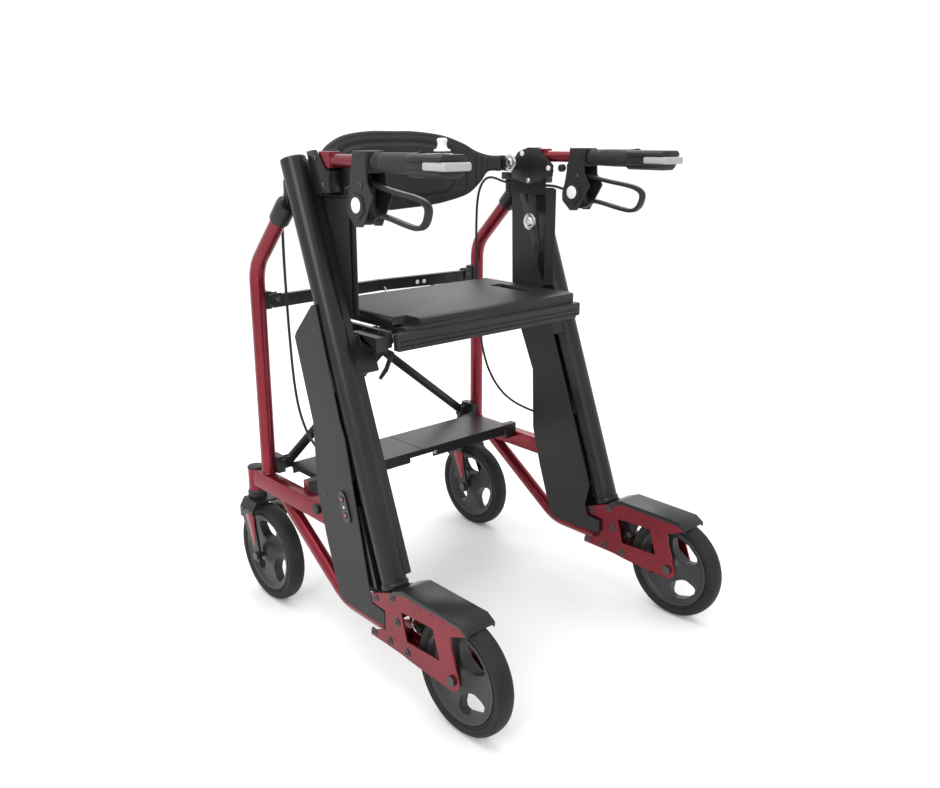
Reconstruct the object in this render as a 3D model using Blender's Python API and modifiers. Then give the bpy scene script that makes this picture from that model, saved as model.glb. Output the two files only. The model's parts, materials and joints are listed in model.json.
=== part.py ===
"""Power-lift rollator: two side frames on four wheels, a folding cross frame and a seat that rides up and down.

Metres, +Z up, +Y is the way it travels, x = 0 is the plane between the two sides, the floor is z = 0.
"""

import math

import bmesh
import bpy
from mathutils import Matrix, Vector

# ---- driving dimensions -------------------------------------------------------------------------------
REAR_Y = -0.2815            # rear axle
CASTER_Y = 0.2915           # casters' axle
TRACK = 0.5422              # between the middles of the two side frames
HALF_TRACK = TRACK / 2
WHEEL_RADIUS = 0.0975
TYRE_WIDTH = 0.033
RIM_RADIUS = 0.0765
BOSS_RADIUS = 0.017
AXLE_RADIUS = 0.004
CASTER_TRAIL = 0.0425
CASTER_LEG_GAP = 0.062    # between the inner faces of a fork's legs
CASTER_LEG = 0.005
BRACKET_WIDTH = 0.0530    # over the two bracket plates of one side
INNER_COVER_X = HALF_TRACK - 0.0314  # middle of the inner sheet
STRIP_X = HALF_TRACK - 0.0376        # inner face of its upright strip
PLATE = 0.003
SHEET = 0.0025

COLUMN_LEAN = math.radians(20.5)
COLUMN_LENGTH = 0.724
COLUMN_RADIUS = 0.0215
COLUMN_WALL = 0.0015
COLUMN_MOUTH = 0.006      # depth of the open top, above the end cap
COLUMN_BASE_Y = -0.1107
COLUMN_BASE_Z = 0.1755
COLUMN_FOOT = 0.030       # what stands between the bracket plates
RAIL_REACH = 0.0255       # column's middle to the rail's face

FRONT_TUBE_RADIUS = 0.014
FRONT_TUBE_Y = 0.287
FRONT_TUBE_BEND_Z = 0.662
LOWER_TUBE_RADIUS = 0.013
LOWER_TUBE_Z = 0.098
SOCKET_Y, SOCKET_Z = 0.182, 0.767
MEMBER_HEIGHT = 0.034
MEMBER_WIDTH = 0.024
MEMBER_Z = 0.247
HEAD_TUBE_RADIUS = 0.016
HEAD_TUBE_LOW, HEAD_TUBE_HIGH = 0.2145, 0.262

HANDLE_X = HALF_TRACK - 0.0251
HANDLE_Z = 0.853
HANDLE_BAR_RADIUS = 0.0105
GRIP_RADIUS = 0.0145
GRIP_HEAD_HALF_WIDTH = 0.0255
GRIP_START_Y, GRIP_HEAD_Y, GRIP_END_Y = -0.0535, -0.152, -0.232
HOUSING_HALF_WIDTH = 0.0195

PIVOT_X = HALF_TRACK - 0.0351   # cross frame pivots on the side frames
FOLD_DROP = math.radians(3)
STRUT_Z = 0.600
STRUT_Y = 0.287
STRUT_THICK = 0.012
XBAR_Z = 0.284
XBAR_THICK = 0.009
XBAR_WIDTH = 0.018
XBAR_CROSS_RISE = 0.1885
XBAR_LENGTH = 0.480
XBAR_OFFSET = 0.0145      # from the strut's plane to each bar's plane
FOOTPLATE_Z = 0.283
FOOTPLATE_NEAR, FOOTPLATE_FAR = 0.152, 0.262
FOOTPLATE_FLANGE = 0.022

SEAT_LEFT, SEAT_RIGHT = 0.0891 - HALF_TRACK, HALF_TRACK - 0.0391
SEAT_NEAR, SEAT_FAR = -0.035, 0.215
SEAT_LOW, SEAT_HIGH = 0.577, 0.600
SEAT_HINGE = (0.0761 - HALF_TRACK, 0.573)
ARM_LOW, ARM_OUT, ARM_IN = 0.553, HALF_TRACK - 0.0341, HALF_TRACK - 0.0581

BACKREST_MIDDLE_Y = 0.235
BACKREST_BOW, BACKREST_HOOK = 0.861, 9.0
BACKREST_THICK = 0.012
CABLE_RADIUS = 0.0025
GAP = 0.0003
CLEAR = 0.0005

SIDES = {"left": -1, "right": 1}
STEM_Y = CASTER_Y + CASTER_TRAIL
ALONG_COLUMN = Vector((0, math.sin(COLUMN_LEAN), math.cos(COLUMN_LEAN)))
AHEAD_OF_COLUMN = Vector((0, math.cos(COLUMN_LEAN), -math.sin(COLUMN_LEAN)))
FACE_YZ = (math.pi / 2, 0, math.pi / 2)
FACE_XZ = (math.pi / 2, 0, 0)
TURN_TO_X = (0, math.pi / 2, 0)
TURN_TO_Y = (math.pi / 2, 0, 0)
LEAN = (-COLUMN_LEAN, 0, 0)
STEPS = 32


# ---- scene and materials ------------------------------------------------------------------------------
def clear_scene():
    for obj in list(bpy.data.objects):
        bpy.data.objects.remove(obj, do_unlink=True)
    parts = bpy.data.collections.new("lift_rollator")
    helpers = bpy.data.collections.new("cutters")
    bpy.context.scene.collection.children.link(parts)
    bpy.context.scene.collection.children.link(helpers)
    return parts, helpers


def material(name, colour, roughness, metallic):
    made = bpy.data.materials.new(name)
    made.use_nodes = True
    shader = made.node_tree.nodes["Principled BSDF"]
    shader.inputs["Base Color"].default_value = (*colour, 1)
    shader.inputs["Roughness"].default_value = roughness
    shader.inputs["Metallic"].default_value = metallic
    made.diffuse_color = (*colour, 1)
    return made


PARTS, HELPERS = clear_scene()
RED = material("red_frame", (0.36, 0.022, 0.035), 0.32, 0.5)
BLACK = material("black_metal", (0.025, 0.025, 0.027), 0.42, 0.4)
CHARCOAL = material("charcoal_plastic", (0.045, 0.045, 0.047), 0.55, 0.0)
TYRE = material("tyre_rubber", (0.02, 0.02, 0.021), 0.75, 0.0)
GREY = material("grey_sheet", (0.038, 0.038, 0.04), 0.5, 0.2)
STEEL = material("bright_steel", (0.6, 0.6, 0.6), 0.3, 1.0)
WHITE = material("white_plastic", (0.8, 0.8, 0.8), 0.4, 0.0)


# ---- modelling tools ----------------------------------------------------------------------------------
def own(obj, name, finish):
    """Names an object, gives it its material and puts it with the parts."""
    obj.name = name
    obj.data.name = name
    obj.data.materials.clear()
    obj.data.materials.append(finish)
    for home in list(obj.users_collection):
        home.objects.unlink(obj)
    PARTS.objects.link(obj)
    return obj


def smooth(obj):
    obj.data.shade_smooth()
    obj.data.set_sharp_from_angle(angle=math.radians(35))
    return obj


def apply_scale(obj):
    obj.data.transform(Matrix.Diagonal((*obj.scale, 1)))
    obj.scale = (1, 1, 1)
    return obj


def box(name, finish, low, high, edge=0.0, turn=(0, 0, 0)):
    """A box between two corners, turned about its own middle."""
    low, high = Vector(low), Vector(high)
    bpy.ops.mesh.primitive_cube_add(size=1, location=(low + high) / 2, rotation=turn)
    obj = bpy.context.object
    obj.scale = [abs(side) for side in high - low]
    apply_scale(obj)
    if edge:
        bevel = obj.modifiers.new("edges", "BEVEL")
        bevel.width = edge
        bevel.segments = 2
    return own(obj, name, finish)


def rod(name, finish, middle, length, radius, turn=(0, 0, 0), sides=STEPS):
    bpy.ops.mesh.primitive_cylinder_add(
        vertices=sides, radius=radius, depth=length, location=middle, rotation=turn
    )
    return smooth(own(bpy.context.object, name, finish))


def flat(name, finish, outline, middle, thick, turn):
    """A flat plate: its outline lies in the plane that turn gives, thick across it."""
    curve = bpy.data.curves.new(name, "CURVE")
    curve.dimensions = "2D"
    curve.fill_mode = "BOTH"
    curve.extrude = thick / 2
    line = curve.splines.new("POLY")
    line.points.add(len(outline) - 1)
    for point, (across, up) in zip(line.points, outline):
        point.co = (across, up, 0, 1)
    line.use_cyclic_u = True
    obj = bpy.data.objects.new(name, curve)
    obj.location = middle
    obj.rotation_euler = turn
    return as_mesh(own(obj, name, finish))


def pipe(name, finish, points, radius, bevel_resolution=4):
    curve = bpy.data.curves.new(name, "CURVE")
    curve.dimensions = "3D"
    curve.bevel_depth = radius
    curve.bevel_resolution = bevel_resolution
    curve.use_fill_caps = True
    line = curve.splines.new("POLY")
    line.points.add(len(points) - 1)
    for point, place in zip(line.points, points):
        point.co = (*place, 1)
    obj = bpy.data.objects.new(name, curve)
    return as_mesh(own(obj, name, finish))


def as_mesh(obj):
    """A curve made a mesh with its caps welded, so that Booleans and modifiers can use it."""
    bpy.context.view_layer.update()
    graph = bpy.context.evaluated_depsgraph_get()
    mesh = bpy.data.meshes.new_from_object(obj.evaluated_get(graph))
    work = bmesh.new()
    work.from_mesh(mesh)
    bmesh.ops.remove_doubles(work, verts=work.verts, dist=1e-6)
    bmesh.ops.recalc_face_normals(work, faces=work.faces)
    work.to_mesh(mesh)
    work.free()
    solid = bpy.data.objects.new(obj.name, mesh)
    solid.matrix_world = obj.matrix_world
    finish, name, curve = obj.data.materials[0], obj.name, obj.data
    bpy.data.objects.remove(obj, do_unlink=True)
    bpy.data.curves.remove(curve)
    return smooth(own(solid, name, finish))


def turned(name, finish, profile, middle, turn):
    """A profile of (radius, height), given from top to bottom, turned a full circle."""
    mesh = bpy.data.meshes.new(name)
    mesh.from_pydata([(r, 0, z) for r, z in profile], [(i, i + 1) for i in range(len(profile) - 1)], [])
    obj = bpy.data.objects.new(name, mesh)
    obj.location = middle
    obj.rotation_euler = turn
    screw = obj.modifiers.new("turn", "SCREW")
    screw.steps = screw.render_steps = STEPS
    screw.use_merge_vertices = True
    screw.merge_threshold = 1e-5
    screw.use_smooth_shade = True
    return own(obj, name, finish)


def boolean(obj, other, operation):
    """Cuts or joins with another solid, which becomes a hidden helper."""
    step = obj.modifiers.new(operation.lower(), "BOOLEAN")
    step.operation = operation
    step.object = other
    for home in list(other.users_collection):
        home.objects.unlink(other)
    HELPERS.objects.link(other)
    other.hide_render = True
    other.display_type = "WIRE"
    return obj


def cut(obj, *others):
    for other in others:
        boolean(obj, other, "DIFFERENCE")
    return obj


def join(obj, *others):
    for other in others:
        boolean(obj, other, "UNION")
    return obj


def arc(middle, radius, start, end, steps=6):
    """Points on an arc, in degrees."""
    angles = [math.radians(start + (end - start) * i / steps) for i in range(steps + 1)]
    return [(middle[0] + radius * math.cos(a), middle[1] + radius * math.sin(a)) for a in angles]


def rounded_path(corners, radius, steps=6):
    """A line through corners in the YZ plane, each inner corner rounded to a radius."""
    corners = [Vector(corner) for corner in corners]
    path = [corners[0]]
    for before, corner, after in zip(corners, corners[1:], corners[2:]):
        back, on = (before - corner).normalized(), (after - corner).normalized()
        reach = radius / math.tan(back.angle(on) / 2)
        start, end = corner + back * reach, corner + on * reach
        for i in range(steps + 1):
            t = i / steps
            path.append(start * (1 - t) ** 2 + corner * 2 * t * (1 - t) + end * t * t)
    return path + [corners[-1]]


def column_point(along, ahead=0.0):
    """(y, z) of a point on the column's axis, this far along it from its base and ahead of it."""
    place = ALONG_COLUMN * along + AHEAD_OF_COLUMN * ahead
    return COLUMN_BASE_Y + place.y, COLUMN_BASE_Z + place.z


def column_y(height):
    return COLUMN_BASE_Y + (height - COLUMN_BASE_Z) * math.tan(COLUMN_LEAN)


# ---- wheels -------------------------------------------------------------------------------------------
def wheel(side, which, y):
    x = SIDES[side] * HALF_TRACK
    half, chamfer = TYRE_WIDTH / 2, 0.007
    profile = [(RIM_RADIUS, half - 0.002), (WHEEL_RADIUS - chamfer, half), (WHEEL_RADIUS, half - chamfer)]
    profile += [(r, -z) for r, z in reversed(profile)] + [(RIM_RADIUS, half - 0.002)]
    turned(f"{which}_tyre_{side}", TYRE, profile, (x, y, WHEEL_RADIUS), TURN_TO_X)
    bore, rim = AXLE_RADIUS + CLEAR, RIM_RADIUS - GAP
    web, rim_half, boss_half = 0.006, half - 0.003, 0.022
    upper = [(bore, boss_half), (BOSS_RADIUS, boss_half), (BOSS_RADIUS + 0.004, web),
             (rim - 0.012, web), (rim - 0.008, rim_half), (rim, rim_half)]
    profile = upper + [(r, -z) for r, z in reversed(upper)] + [upper[0]]
    hub = turned(f"{which}_hub_{side}", CHARCOAL, profile, (x, y, WHEEL_RADIUS), TURN_TO_X)
    for third in range(3):
        angle = math.radians(90 + 120 * third)
        reach = (BOSS_RADIUS + RIM_RADIUS) / 2
        place = (x, y + reach * math.cos(angle), WHEEL_RADIUS + reach * math.sin(angle))
        cut(hub, rod(f"{which}_window_{side}_{third}", GREY, place, 0.06, 0.0168, TURN_TO_X, 16))
    return hub


def axle(side, which, y, span):
    """A bolt through the wheel, with a low head outside each plate or leg."""
    x, head = SIDES[side] * HALF_TRACK, 0.004
    shank = rod(f"{which}_axle_{side}", STEEL, (x, y, WHEEL_RADIUS), span + 2 * GAP + head, AXLE_RADIUS, TURN_TO_X, 24)
    for end in (-1, 1):
        place = (x + end * (span / 2 + GAP + head / 2), y, WHEEL_RADIUS)
        join(shank, rod(f"{which}_axle_head_{side}_{end}", STEEL, place, head, 0.0085, TURN_TO_X, 24))
    return shank


def axle_hole(name, x, y):
    return rod(name, STEEL, (x, y, WHEEL_RADIUS), 0.03, AXLE_RADIUS + CLEAR, TURN_TO_X, 24)


# ---- rear bracket -------------------------------------------------------------------------------------
def rear_plates(side):
    sign = SIDES[side]
    front = [(-0.0746, 0.0933), (-0.1152, 0.1104), (-0.1152, 0.1455), (-0.0816, 0.1475), (-0.0771, 0.1631)]
    top = [(-0.1609, 0.1957), (-0.3135, 0.1917), (-0.3145, 0.1862), (REAR_Y + 0.0045, 0.1700),
           (REAR_Y + 0.0020, 0.1500)]
    lug = arc((REAR_Y, WHEEL_RADIUS), 0.0175, 160, 268, 7)
    bottom = [(-0.2051, 0.0808), (-0.1730, 0.0828), (-0.1529, 0.0848), (-0.0746, 0.0848)]
    window = [(-0.1579, 0.1611), (-0.2362, 0.1661), (-0.2523, 0.1179), (-0.1720, 0.1139)]
    for layer, outward in (("outer", 1), ("inner", -1)):
        x = sign * (HALF_TRACK + outward * (BRACKET_WIDTH - PLATE) / 2)
        name = f"rear_plate_{layer}_{side}"
        plate = flat(name, RED, front + top + lug + bottom, (x, 0, 0), PLATE, FACE_YZ)
        opening = flat(name + "_window", RED, window, (x, 0, 0), 3 * PLATE, FACE_YZ)
        cut(plate, opening, axle_hole(name + "_bore", x, REAR_Y))


def fender(side):
    """A channel over the rear wheel: flat along the top, sloping at both ends, its sides turned down over the plates."""
    x = SIDES[side] * HALF_TRACK
    top = 2 * WHEEL_RADIUS + 0.0075
    line = [(-0.1370, top - 0.0125), (-0.1665, top), (-0.3010, top), (-0.3180, top - 0.0105)]
    under = [(y + 0.0004, z - 0.009) for y, z in reversed(line)]
    sheet = flat(f"fender_{side}", BLACK, line + under, (x, 0, 0), BRACKET_WIDTH + 2 * (SHEET + GAP), FACE_YZ)
    bevel = sheet.modifiers.new("edges", "BEVEL")
    bevel.width = 0.0020
    bevel.segments = 2
    bevel.limit_method = "ANGLE"
    bevel.angle_limit = math.radians(60)
    hollow_top = top - SHEET
    inside = [(-0.1300, hollow_top - 0.0150), (-0.1662, hollow_top), (-0.3008, hollow_top), (-0.3300, hollow_top - 0.0180)]
    floor = [(y, z - 0.020) for y, z in reversed(inside)]
    hollow = flat(f"fender_hollow_{side}", BLACK, inside + floor, (x, 0, 0), BRACKET_WIDTH + 2 * GAP, FACE_YZ)
    return cut(sheet, hollow)


# ---- columns and covers -------------------------------------------------------------------------------
def column(side):
    sign = SIDES[side]
    x, reach = sign * HALF_TRACK, COLUMN_LENGTH + COLUMN_FOOT
    y, z = column_point((COLUMN_LENGTH - COLUMN_FOOT) / 2)
    body = rod(f"column_{side}", BLACK, (x, y, z), reach, COLUMN_RADIUS, LEAN, 32)
    y, z = column_point(COLUMN_LENGTH / 2 + 0.004, -0.0075)
    rail_x = sign * (HALF_TRACK - RAIL_REACH / 2 - 0.002)
    depth, width, length = RAIL_REACH - 0.004, 0.019, COLUMN_LENGTH - 0.03
    rail = box(f"column_rail_{side}", BLACK, (rail_x - depth / 2, y - width / 2, z - length / 2),
               (rail_x + depth / 2, y + width / 2, z + length / 2), 0, LEAN)
    join(body, rail)
    y, z = column_point(COLUMN_LENGTH)
    return cut(body, rod(f"column_mouth_{side}", BLACK, (x, y, z), 2 * COLUMN_MOUTH, COLUMN_RADIUS - COLUMN_WALL, LEAN, 24))


def cover_front():
    """Front and bottom edge that both covers share, from the top down."""
    return [(0.1232, 0.5637), (0.0780, 0.4231), (0.0730, 0.2976), (0.0509, 0.2193), (0.0168, 0.1209), (0.0067, 0.1134)]


def outer_cover(side):
    """A tray: the outer sheet with its front and bottom edge folded inwards, open at the column."""
    sign = SIDES[side]
    walls = [(0.0911, 0.6003), (0.1172, 0.5737)] + cover_front() + [(-0.0756, 0.1134), (-0.1127, 0.1159)]
    rear = [(-0.1127, 0.1425), (-0.0801, 0.1448), (-0.0731, 0.1671), (-0.0565, 0.2414), (-0.0164, 0.4151), (-0.0033, 0.4432),
            (0.0549, 0.6289), (0.0670, 0.6249)]
    outside = HALF_TRACK + BRACKET_WIDTH / 2
    inside = HALF_TRACK - BRACKET_WIDTH / 2 + SHEET + GAP
    work = bmesh.new()
    ring = [work.verts.new((sign * outside, y, z)) for y, z in walls + rear]
    work.faces.new(ring)
    edges = [work.edges.get((ring[i], ring[i + 1])) for i in range(len(walls) - 1)]
    folded = bmesh.ops.extrude_edge_only(work, edges=edges)["geom"]
    moved = [item for item in folded if isinstance(item, bmesh.types.BMVert)]
    bmesh.ops.translate(work, verts=moved, vec=(sign * (inside - outside), 0, 0))
    bmesh.ops.recalc_face_normals(work, faces=work.faces)
    largest = max(work.faces, key=lambda face: face.calc_area())
    if largest.normal.x * sign < 0:
        bmesh.ops.reverse_faces(work, faces=work.faces)
    mesh = bpy.data.meshes.new("cover")
    work.to_mesh(mesh)
    work.free()
    obj = own(bpy.data.objects.new(f"outer_cover_{side}", mesh), f"outer_cover_{side}", GREY)
    wall = obj.modifiers.new("wall", "SOLIDIFY")
    wall.thickness = SHEET
    wall.offset = -1
    wall.use_even_offset = True
    slack = 0.0015
    x, half = sign * (HALF_TRACK + 0.0025), MEMBER_WIDTH / 2 + slack
    passage = box(f"member_passage_{side}", GREY, (x - half, 0.03, MEMBER_Z - MEMBER_HEIGHT / 2 - slack),
                  (x + half, 0.12, MEMBER_Z + MEMBER_HEIGHT / 2 + slack))
    return cut(obj, passage)


def inner_cover(side):
    """The flat inner sheet. Above the seat it runs up to the top bracket and covers the rail."""
    x = SIDES[side] * INNER_COVER_X
    upper = [(0.147, 0.794), (0.142, 0.600), (0.126, 0.530)]
    foot = [(-0.080, 0.1165), (-0.117, 0.1190), (-0.117, 0.1455), (-0.0845, 0.1478), (-0.0775, 0.1700)]
    rear = [(column_y(z) + 0.0045 + 0.004, z) for z in (0.215, 0.600)] + [(0.033, 0.606), (0.033, 0.794)]
    sheet = flat(f"inner_cover_{side}", GREY, upper + cover_front()[1:] + foot + rear, (x, 0, 0), SHEET, FACE_YZ)
    for name, reach, near in (("strip", STRIP_X + 0.0020, 0.0230), ("return", abs(x), 0.0455)):
        ends = sorted((SIDES[side] * STRIP_X, SIDES[side] * reach))
        join(sheet, box(f"inner_{name}_{side}", GREY, (ends[0], near, 0.606), (ends[1], 0.0480, 0.7925)))
    return sheet


def drive_units():
    """The battery pack stands in the left cover, the motor of the lift in the right one."""
    for name, side, size, low in (("battery_pack", "left", (0.040, 0.044, 0.150), 0.330),
                                  ("lift_motor", "right", (0.038, 0.040, 0.110), 0.330)):
        x = SIDES[side] * HALF_TRACK
        y, z = column_y(low) + 0.064, low + size[2] / 2
        middle = Vector((x, y + size[2] / 2 * math.sin(COLUMN_LEAN) * 0.5, z))
        half = Vector(size) / 2
        box(name, CHARCOAL if side == "left" else STEEL, middle - half, middle + half, 0.003, LEAN)


# ---- red frame ----------------------------------------------------------------------------------------
def front_tube(side):
    """The bent tube, with the two black clamps whose ears hold the cross frame."""
    sign = SIDES[side]
    x = sign * HALF_TRACK
    line = rounded_path([(FRONT_TUBE_Y, MEMBER_Z + MEMBER_HEIGHT / 2 + GAP), (FRONT_TUBE_Y, FRONT_TUBE_BEND_Z),
                         (SOCKET_Y - 0.008, FRONT_TUBE_BEND_Z + FRONT_TUBE_Y - SOCKET_Y + 0.008)], 0.075)
    tube = pipe(f"front_tube_{side}", RED, [(x, y, z) for y, z in line], FRONT_TUBE_RADIUS, 5)
    bar_y = STRUT_Y + sign * XBAR_OFFSET
    for label, middle_y, middle_z, thick in (("upper", STRUT_Y, STRUT_Z, STRUT_THICK), ("lower", bar_y, XBAR_Z, XBAR_THICK)):
        inner, outer = sorted((sign * (PIVOT_X + 0.0135), sign * (HALF_TRACK - 0.005)))
        low, high = min(middle_y, FRONT_TUBE_Y) - 0.012, max(middle_y, FRONT_TUBE_Y) + 0.012
        join(tube, box(f"{label}_clamp_{side}", BLACK, (inner, low, middle_z - 0.016), (outer, high, middle_z + 0.016)))
        for ear in (-1, 1):
            ear_y = middle_y + ear * (thick / 2 + CLEAR + 0.0015)
            near, far = sorted((sign * (PIVOT_X - 0.008), sign * (PIVOT_X + 0.020)))
            join(tube, box(f"{label}_ear_{side}_{ear}", BLACK, (near, ear_y - 0.0015, middle_z - 0.011),
                           (far, ear_y + 0.0015, middle_z + 0.011)))
    return tube


def lower_tube(side):
    x = SIDES[side] * HALF_TRACK
    top = MEMBER_Z - MEMBER_HEIGHT / 2 - GAP
    line = rounded_path([(-0.174, LOWER_TUBE_Z), (0.030, LOWER_TUBE_Z), (0.205, 0.2145)], 0.085)
    tube = pipe(f"lower_tube_{side}", RED, [(x, y, z) for y, z in line + [Vector((0.232, 0.2322))]], LOWER_TUBE_RADIUS, 5)
    return cut(tube, box(f"lower_tube_trim_{side}", RED, (x - 0.03, 0.15, top), (x + 0.03, 0.30, top + 0.05)))


def cross_member(side):
    """The flat member and the head tube welded to its front end, with the footplate's pivot block."""
    sign = SIDES[side]
    x = sign * (HALF_TRACK + 0.0025)
    half = MEMBER_WIDTH / 2
    member = box(f"cross_member_{side}", RED, (x - half, 0.040, MEMBER_Z - MEMBER_HEIGHT / 2),
                 (x + half, STEM_Y - 0.004, MEMBER_Z + MEMBER_HEIGHT / 2), 0.002)
    middle = (HEAD_TUBE_LOW + HEAD_TUBE_HIGH) / 2
    span = HEAD_TUBE_HIGH - HEAD_TUBE_LOW
    join(member, rod(f"head_tube_{side}", RED, (x, STEM_Y, middle), span, HEAD_TUBE_RADIUS, sides=32))
    inner, outer = sorted((sign * (PIVOT_X + 0.0015), sign * (HALF_TRACK - 0.004)))
    join(member, box(f"footplate_block_{side}", BLACK, (inner, FOOTPLATE_NEAR + 0.001, MEMBER_Z + 0.004),
                     (outer, FOOTPLATE_NEAR + 0.017, FOOTPLATE_Z)))
    return cut(member, rod(f"stem_bore_{side}", RED, (x, STEM_Y, HEAD_TUBE_LOW), 0.068, 0.0075, sides=24))


def top_bracket(side):
    """Two folded plates beside the handle bar, a block between them and the socket of the front tube."""
    sign = SIDES[side]
    inner = [(0.1440, 0.8370), (0.1250, 0.8600), (0.0980, 0.8690), (0.0720, 0.8690), (0.0300, 0.8370), (0.0310, 0.8160),
             (0.0950, 0.7975), (0.1420, 0.8100)]
    outer = [(0.1180, 0.8660), (0.0980, 0.8690), (0.0900, 0.8690), (0.0540, 0.8260), (0.0590, 0.8100), (0.0780, 0.8005),
             (0.0920, 0.8005)]
    x = sign * (HANDLE_X - 0.0135)
    plate = flat(f"top_bracket_{side}", BLACK, inner, (x, 0, 0), PLATE, FACE_YZ)

    def block(name, near, far, low, high, turn=(0, 0, 0)):
        ends = sorted((sign * near, sign * far))
        return box(f"bracket_{name}_{side}", BLACK, (ends[0], *low), (ends[1], *high), 0, turn)

    rear_x = HALF_TRACK - RAIL_REACH
    join(plate, flat(f"bracket_outer_{side}", BLACK, outer, (sign * (HANDLE_X + 0.0135), 0, 0), PLATE, FACE_YZ),
         block("body", HANDLE_X - 0.0140, HANDLE_X + 0.0140, (0.056, 0.8025), (0.092, 0.8375)),
         block("link", HANDLE_X - 0.0140, rear_x - 0.0006, (0.128, 0.8060), (0.172, 0.8200)),
         block("bridge", rear_x - 0.0020, HALF_TRACK + 0.004, (0.1600, 0.7780), (0.1720, 0.8200)))
    half, along = 0.017, 0.022
    join(plate, block("socket", HALF_TRACK - half, HALF_TRACK + half, (SOCKET_Y - half, SOCKET_Z - along),
                      (SOCKET_Y + half, SOCKET_Z + along), (math.radians(45), 0, 0)))
    depth = 0.5
    sink = depth / 2 - along * 0.6
    middle = (sign * HALF_TRACK, SOCKET_Y + sink * math.sqrt(0.5), SOCKET_Z - sink * math.sqrt(0.5))
    return cut(plate, rod(f"socket_bore_{side}", BLACK, middle, depth, FRONT_TUBE_RADIUS + CLEAR, (math.radians(45), 0, 0), 32))


# ---- casters ------------------------------------------------------------------------------------------
def caster_fork(side):
    """A bent strip over the tyre with two tapered legs, and the boss and stem that turn in the head tube."""
    x = SIDES[side] * HALF_TRACK
    inside, outside = CASTER_LEG_GAP / 2, CASTER_LEG_GAP / 2 + CASTER_LEG
    low, shoulder, high = 2 * WHEEL_RADIUS + 0.0035, 2 * WHEEL_RADIUS - 0.009, 2 * WHEEL_RADIUS + 0.0085
    foot = shoulder - 0.02
    over = [(outside, foot), (outside, shoulder), (outside - 0.010, high)]
    under = [(inside, foot), (inside, shoulder - 0.0015), (inside - 0.009, low)]
    arch = over + [(-a, z) for a, z in reversed(over)] + [(-a, z) for a, z in under] + list(reversed(under))
    near, far = CASTER_Y + 0.007, STEM_Y + 0.013
    fork = flat(f"caster_fork_{side}", BLACK, arch, (x, (near + far) / 2, 0), far - near, FACE_XZ)
    leg = arc((CASTER_Y, WHEEL_RADIUS), 0.0125, 180, 360, 8) + [(far, shoulder), (near, shoulder)]
    leg_x = (inside + outside) / 2
    for end in (-1, 1):
        join(fork, flat(f"caster_leg_{side}_{end}", BLACK, leg, (x + end * leg_x, 0, 0), CASTER_LEG, FACE_YZ))
    stem_x = SIDES[side] * (HALF_TRACK + 0.0025)
    start = high - 0.004
    join(fork, rod(f"caster_boss_{side}", BLACK, (stem_x, STEM_Y, (start + HEAD_TUBE_LOW - GAP) / 2),
                   HEAD_TUBE_LOW - GAP - start, 0.0185, sides=32),
         rod(f"caster_stem_{side}", BLACK, (stem_x, STEM_Y, (start + 0.244) / 2), 0.244 - start, 0.007, sides=24))
    for end in (-1, 1):
        cut(fork, axle_hole(f"caster_bore_{side}_{end}", x + end * leg_x, CASTER_Y))
    return fork


# ---- handles and brakes -------------------------------------------------------------------------------
def handle(side):
    """The red bar with its square root in the bracket, and the grip with its block-shaped head."""
    x = SIDES[side] * HANDLE_X
    bar = rod(f"handle_bar_{side}", RED, (x, -0.007, HANDLE_Z), 0.188, HANDLE_BAR_RADIUS, TURN_TO_Y, 28)
    root = HANDLE_BAR_RADIUS + 0.0008
    join(bar, box(f"handle_root_{side}", RED, (x - root, 0.057, HANDLE_Z - root), (x + root, 0.0875, 0.8670)))
    grip = rod(f"grip_{side}", CHARCOAL, (x, (GRIP_START_Y + GRIP_HEAD_Y) / 2 - 0.006, HANDLE_Z),
               GRIP_START_Y - GRIP_HEAD_Y + 0.012, GRIP_RADIUS, TURN_TO_Y, 32)
    head = box(f"grip_head_{side}", CHARCOAL, (x - GRIP_HEAD_HALF_WIDTH, GRIP_END_Y, 0.834),
               (x + GRIP_HEAD_HALF_WIDTH, GRIP_HEAD_Y, 0.868), 0.006)
    join(grip, head)
    bore = rod(f"grip_bore_{side}", CHARCOAL, (x, 0, HANDLE_Z), 0.206, HANDLE_BAR_RADIUS + CLEAR, TURN_TO_Y, 28)
    cut(grip, bore)


def brake_housing(side):
    """Two side plates, a clamp ring on the handle bar and a front wall, with the lever between the plates."""
    x = SIDES[side] * HANDLE_X
    plate = [(-0.016, 0.861), (-0.050, 0.861), (-0.053, 0.823), (-0.067, 0.803), (-0.038, 0.7565), (-0.021, 0.7555),
             (-0.001, 0.773), (0.000, 0.788), (-0.006, 0.806)]
    thick = 0.003
    ring = box(f"brake_housing_{side}", CHARCOAL, (x - 0.018, -0.0515, 0.8365), (x + 0.018, -0.0135, 0.8695), 0.002)
    for end in (-1, 1):
        place = (x + end * (HOUSING_HALF_WIDTH - thick / 2), 0, 0)
        join(ring, flat(f"housing_plate_{side}_{end}", CHARCOAL, plate, place, thick, FACE_YZ))
    join(ring, box(f"housing_front_{side}", CHARCOAL, (x - 0.018, -0.0095, 0.776), (x + 0.018, -0.0045, 0.806)))
    join(ring, box(f"housing_top_{side}", CHARCOAL, (x - 0.018, -0.018, 0.803), (x + 0.018, -0.0085, 0.840)))
    return cut(ring, rod(f"housing_bore_{side}", CHARCOAL, (x, 0, HANDLE_Z), 0.2, HANDLE_BAR_RADIUS + CLEAR, TURN_TO_Y, 28))


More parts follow.
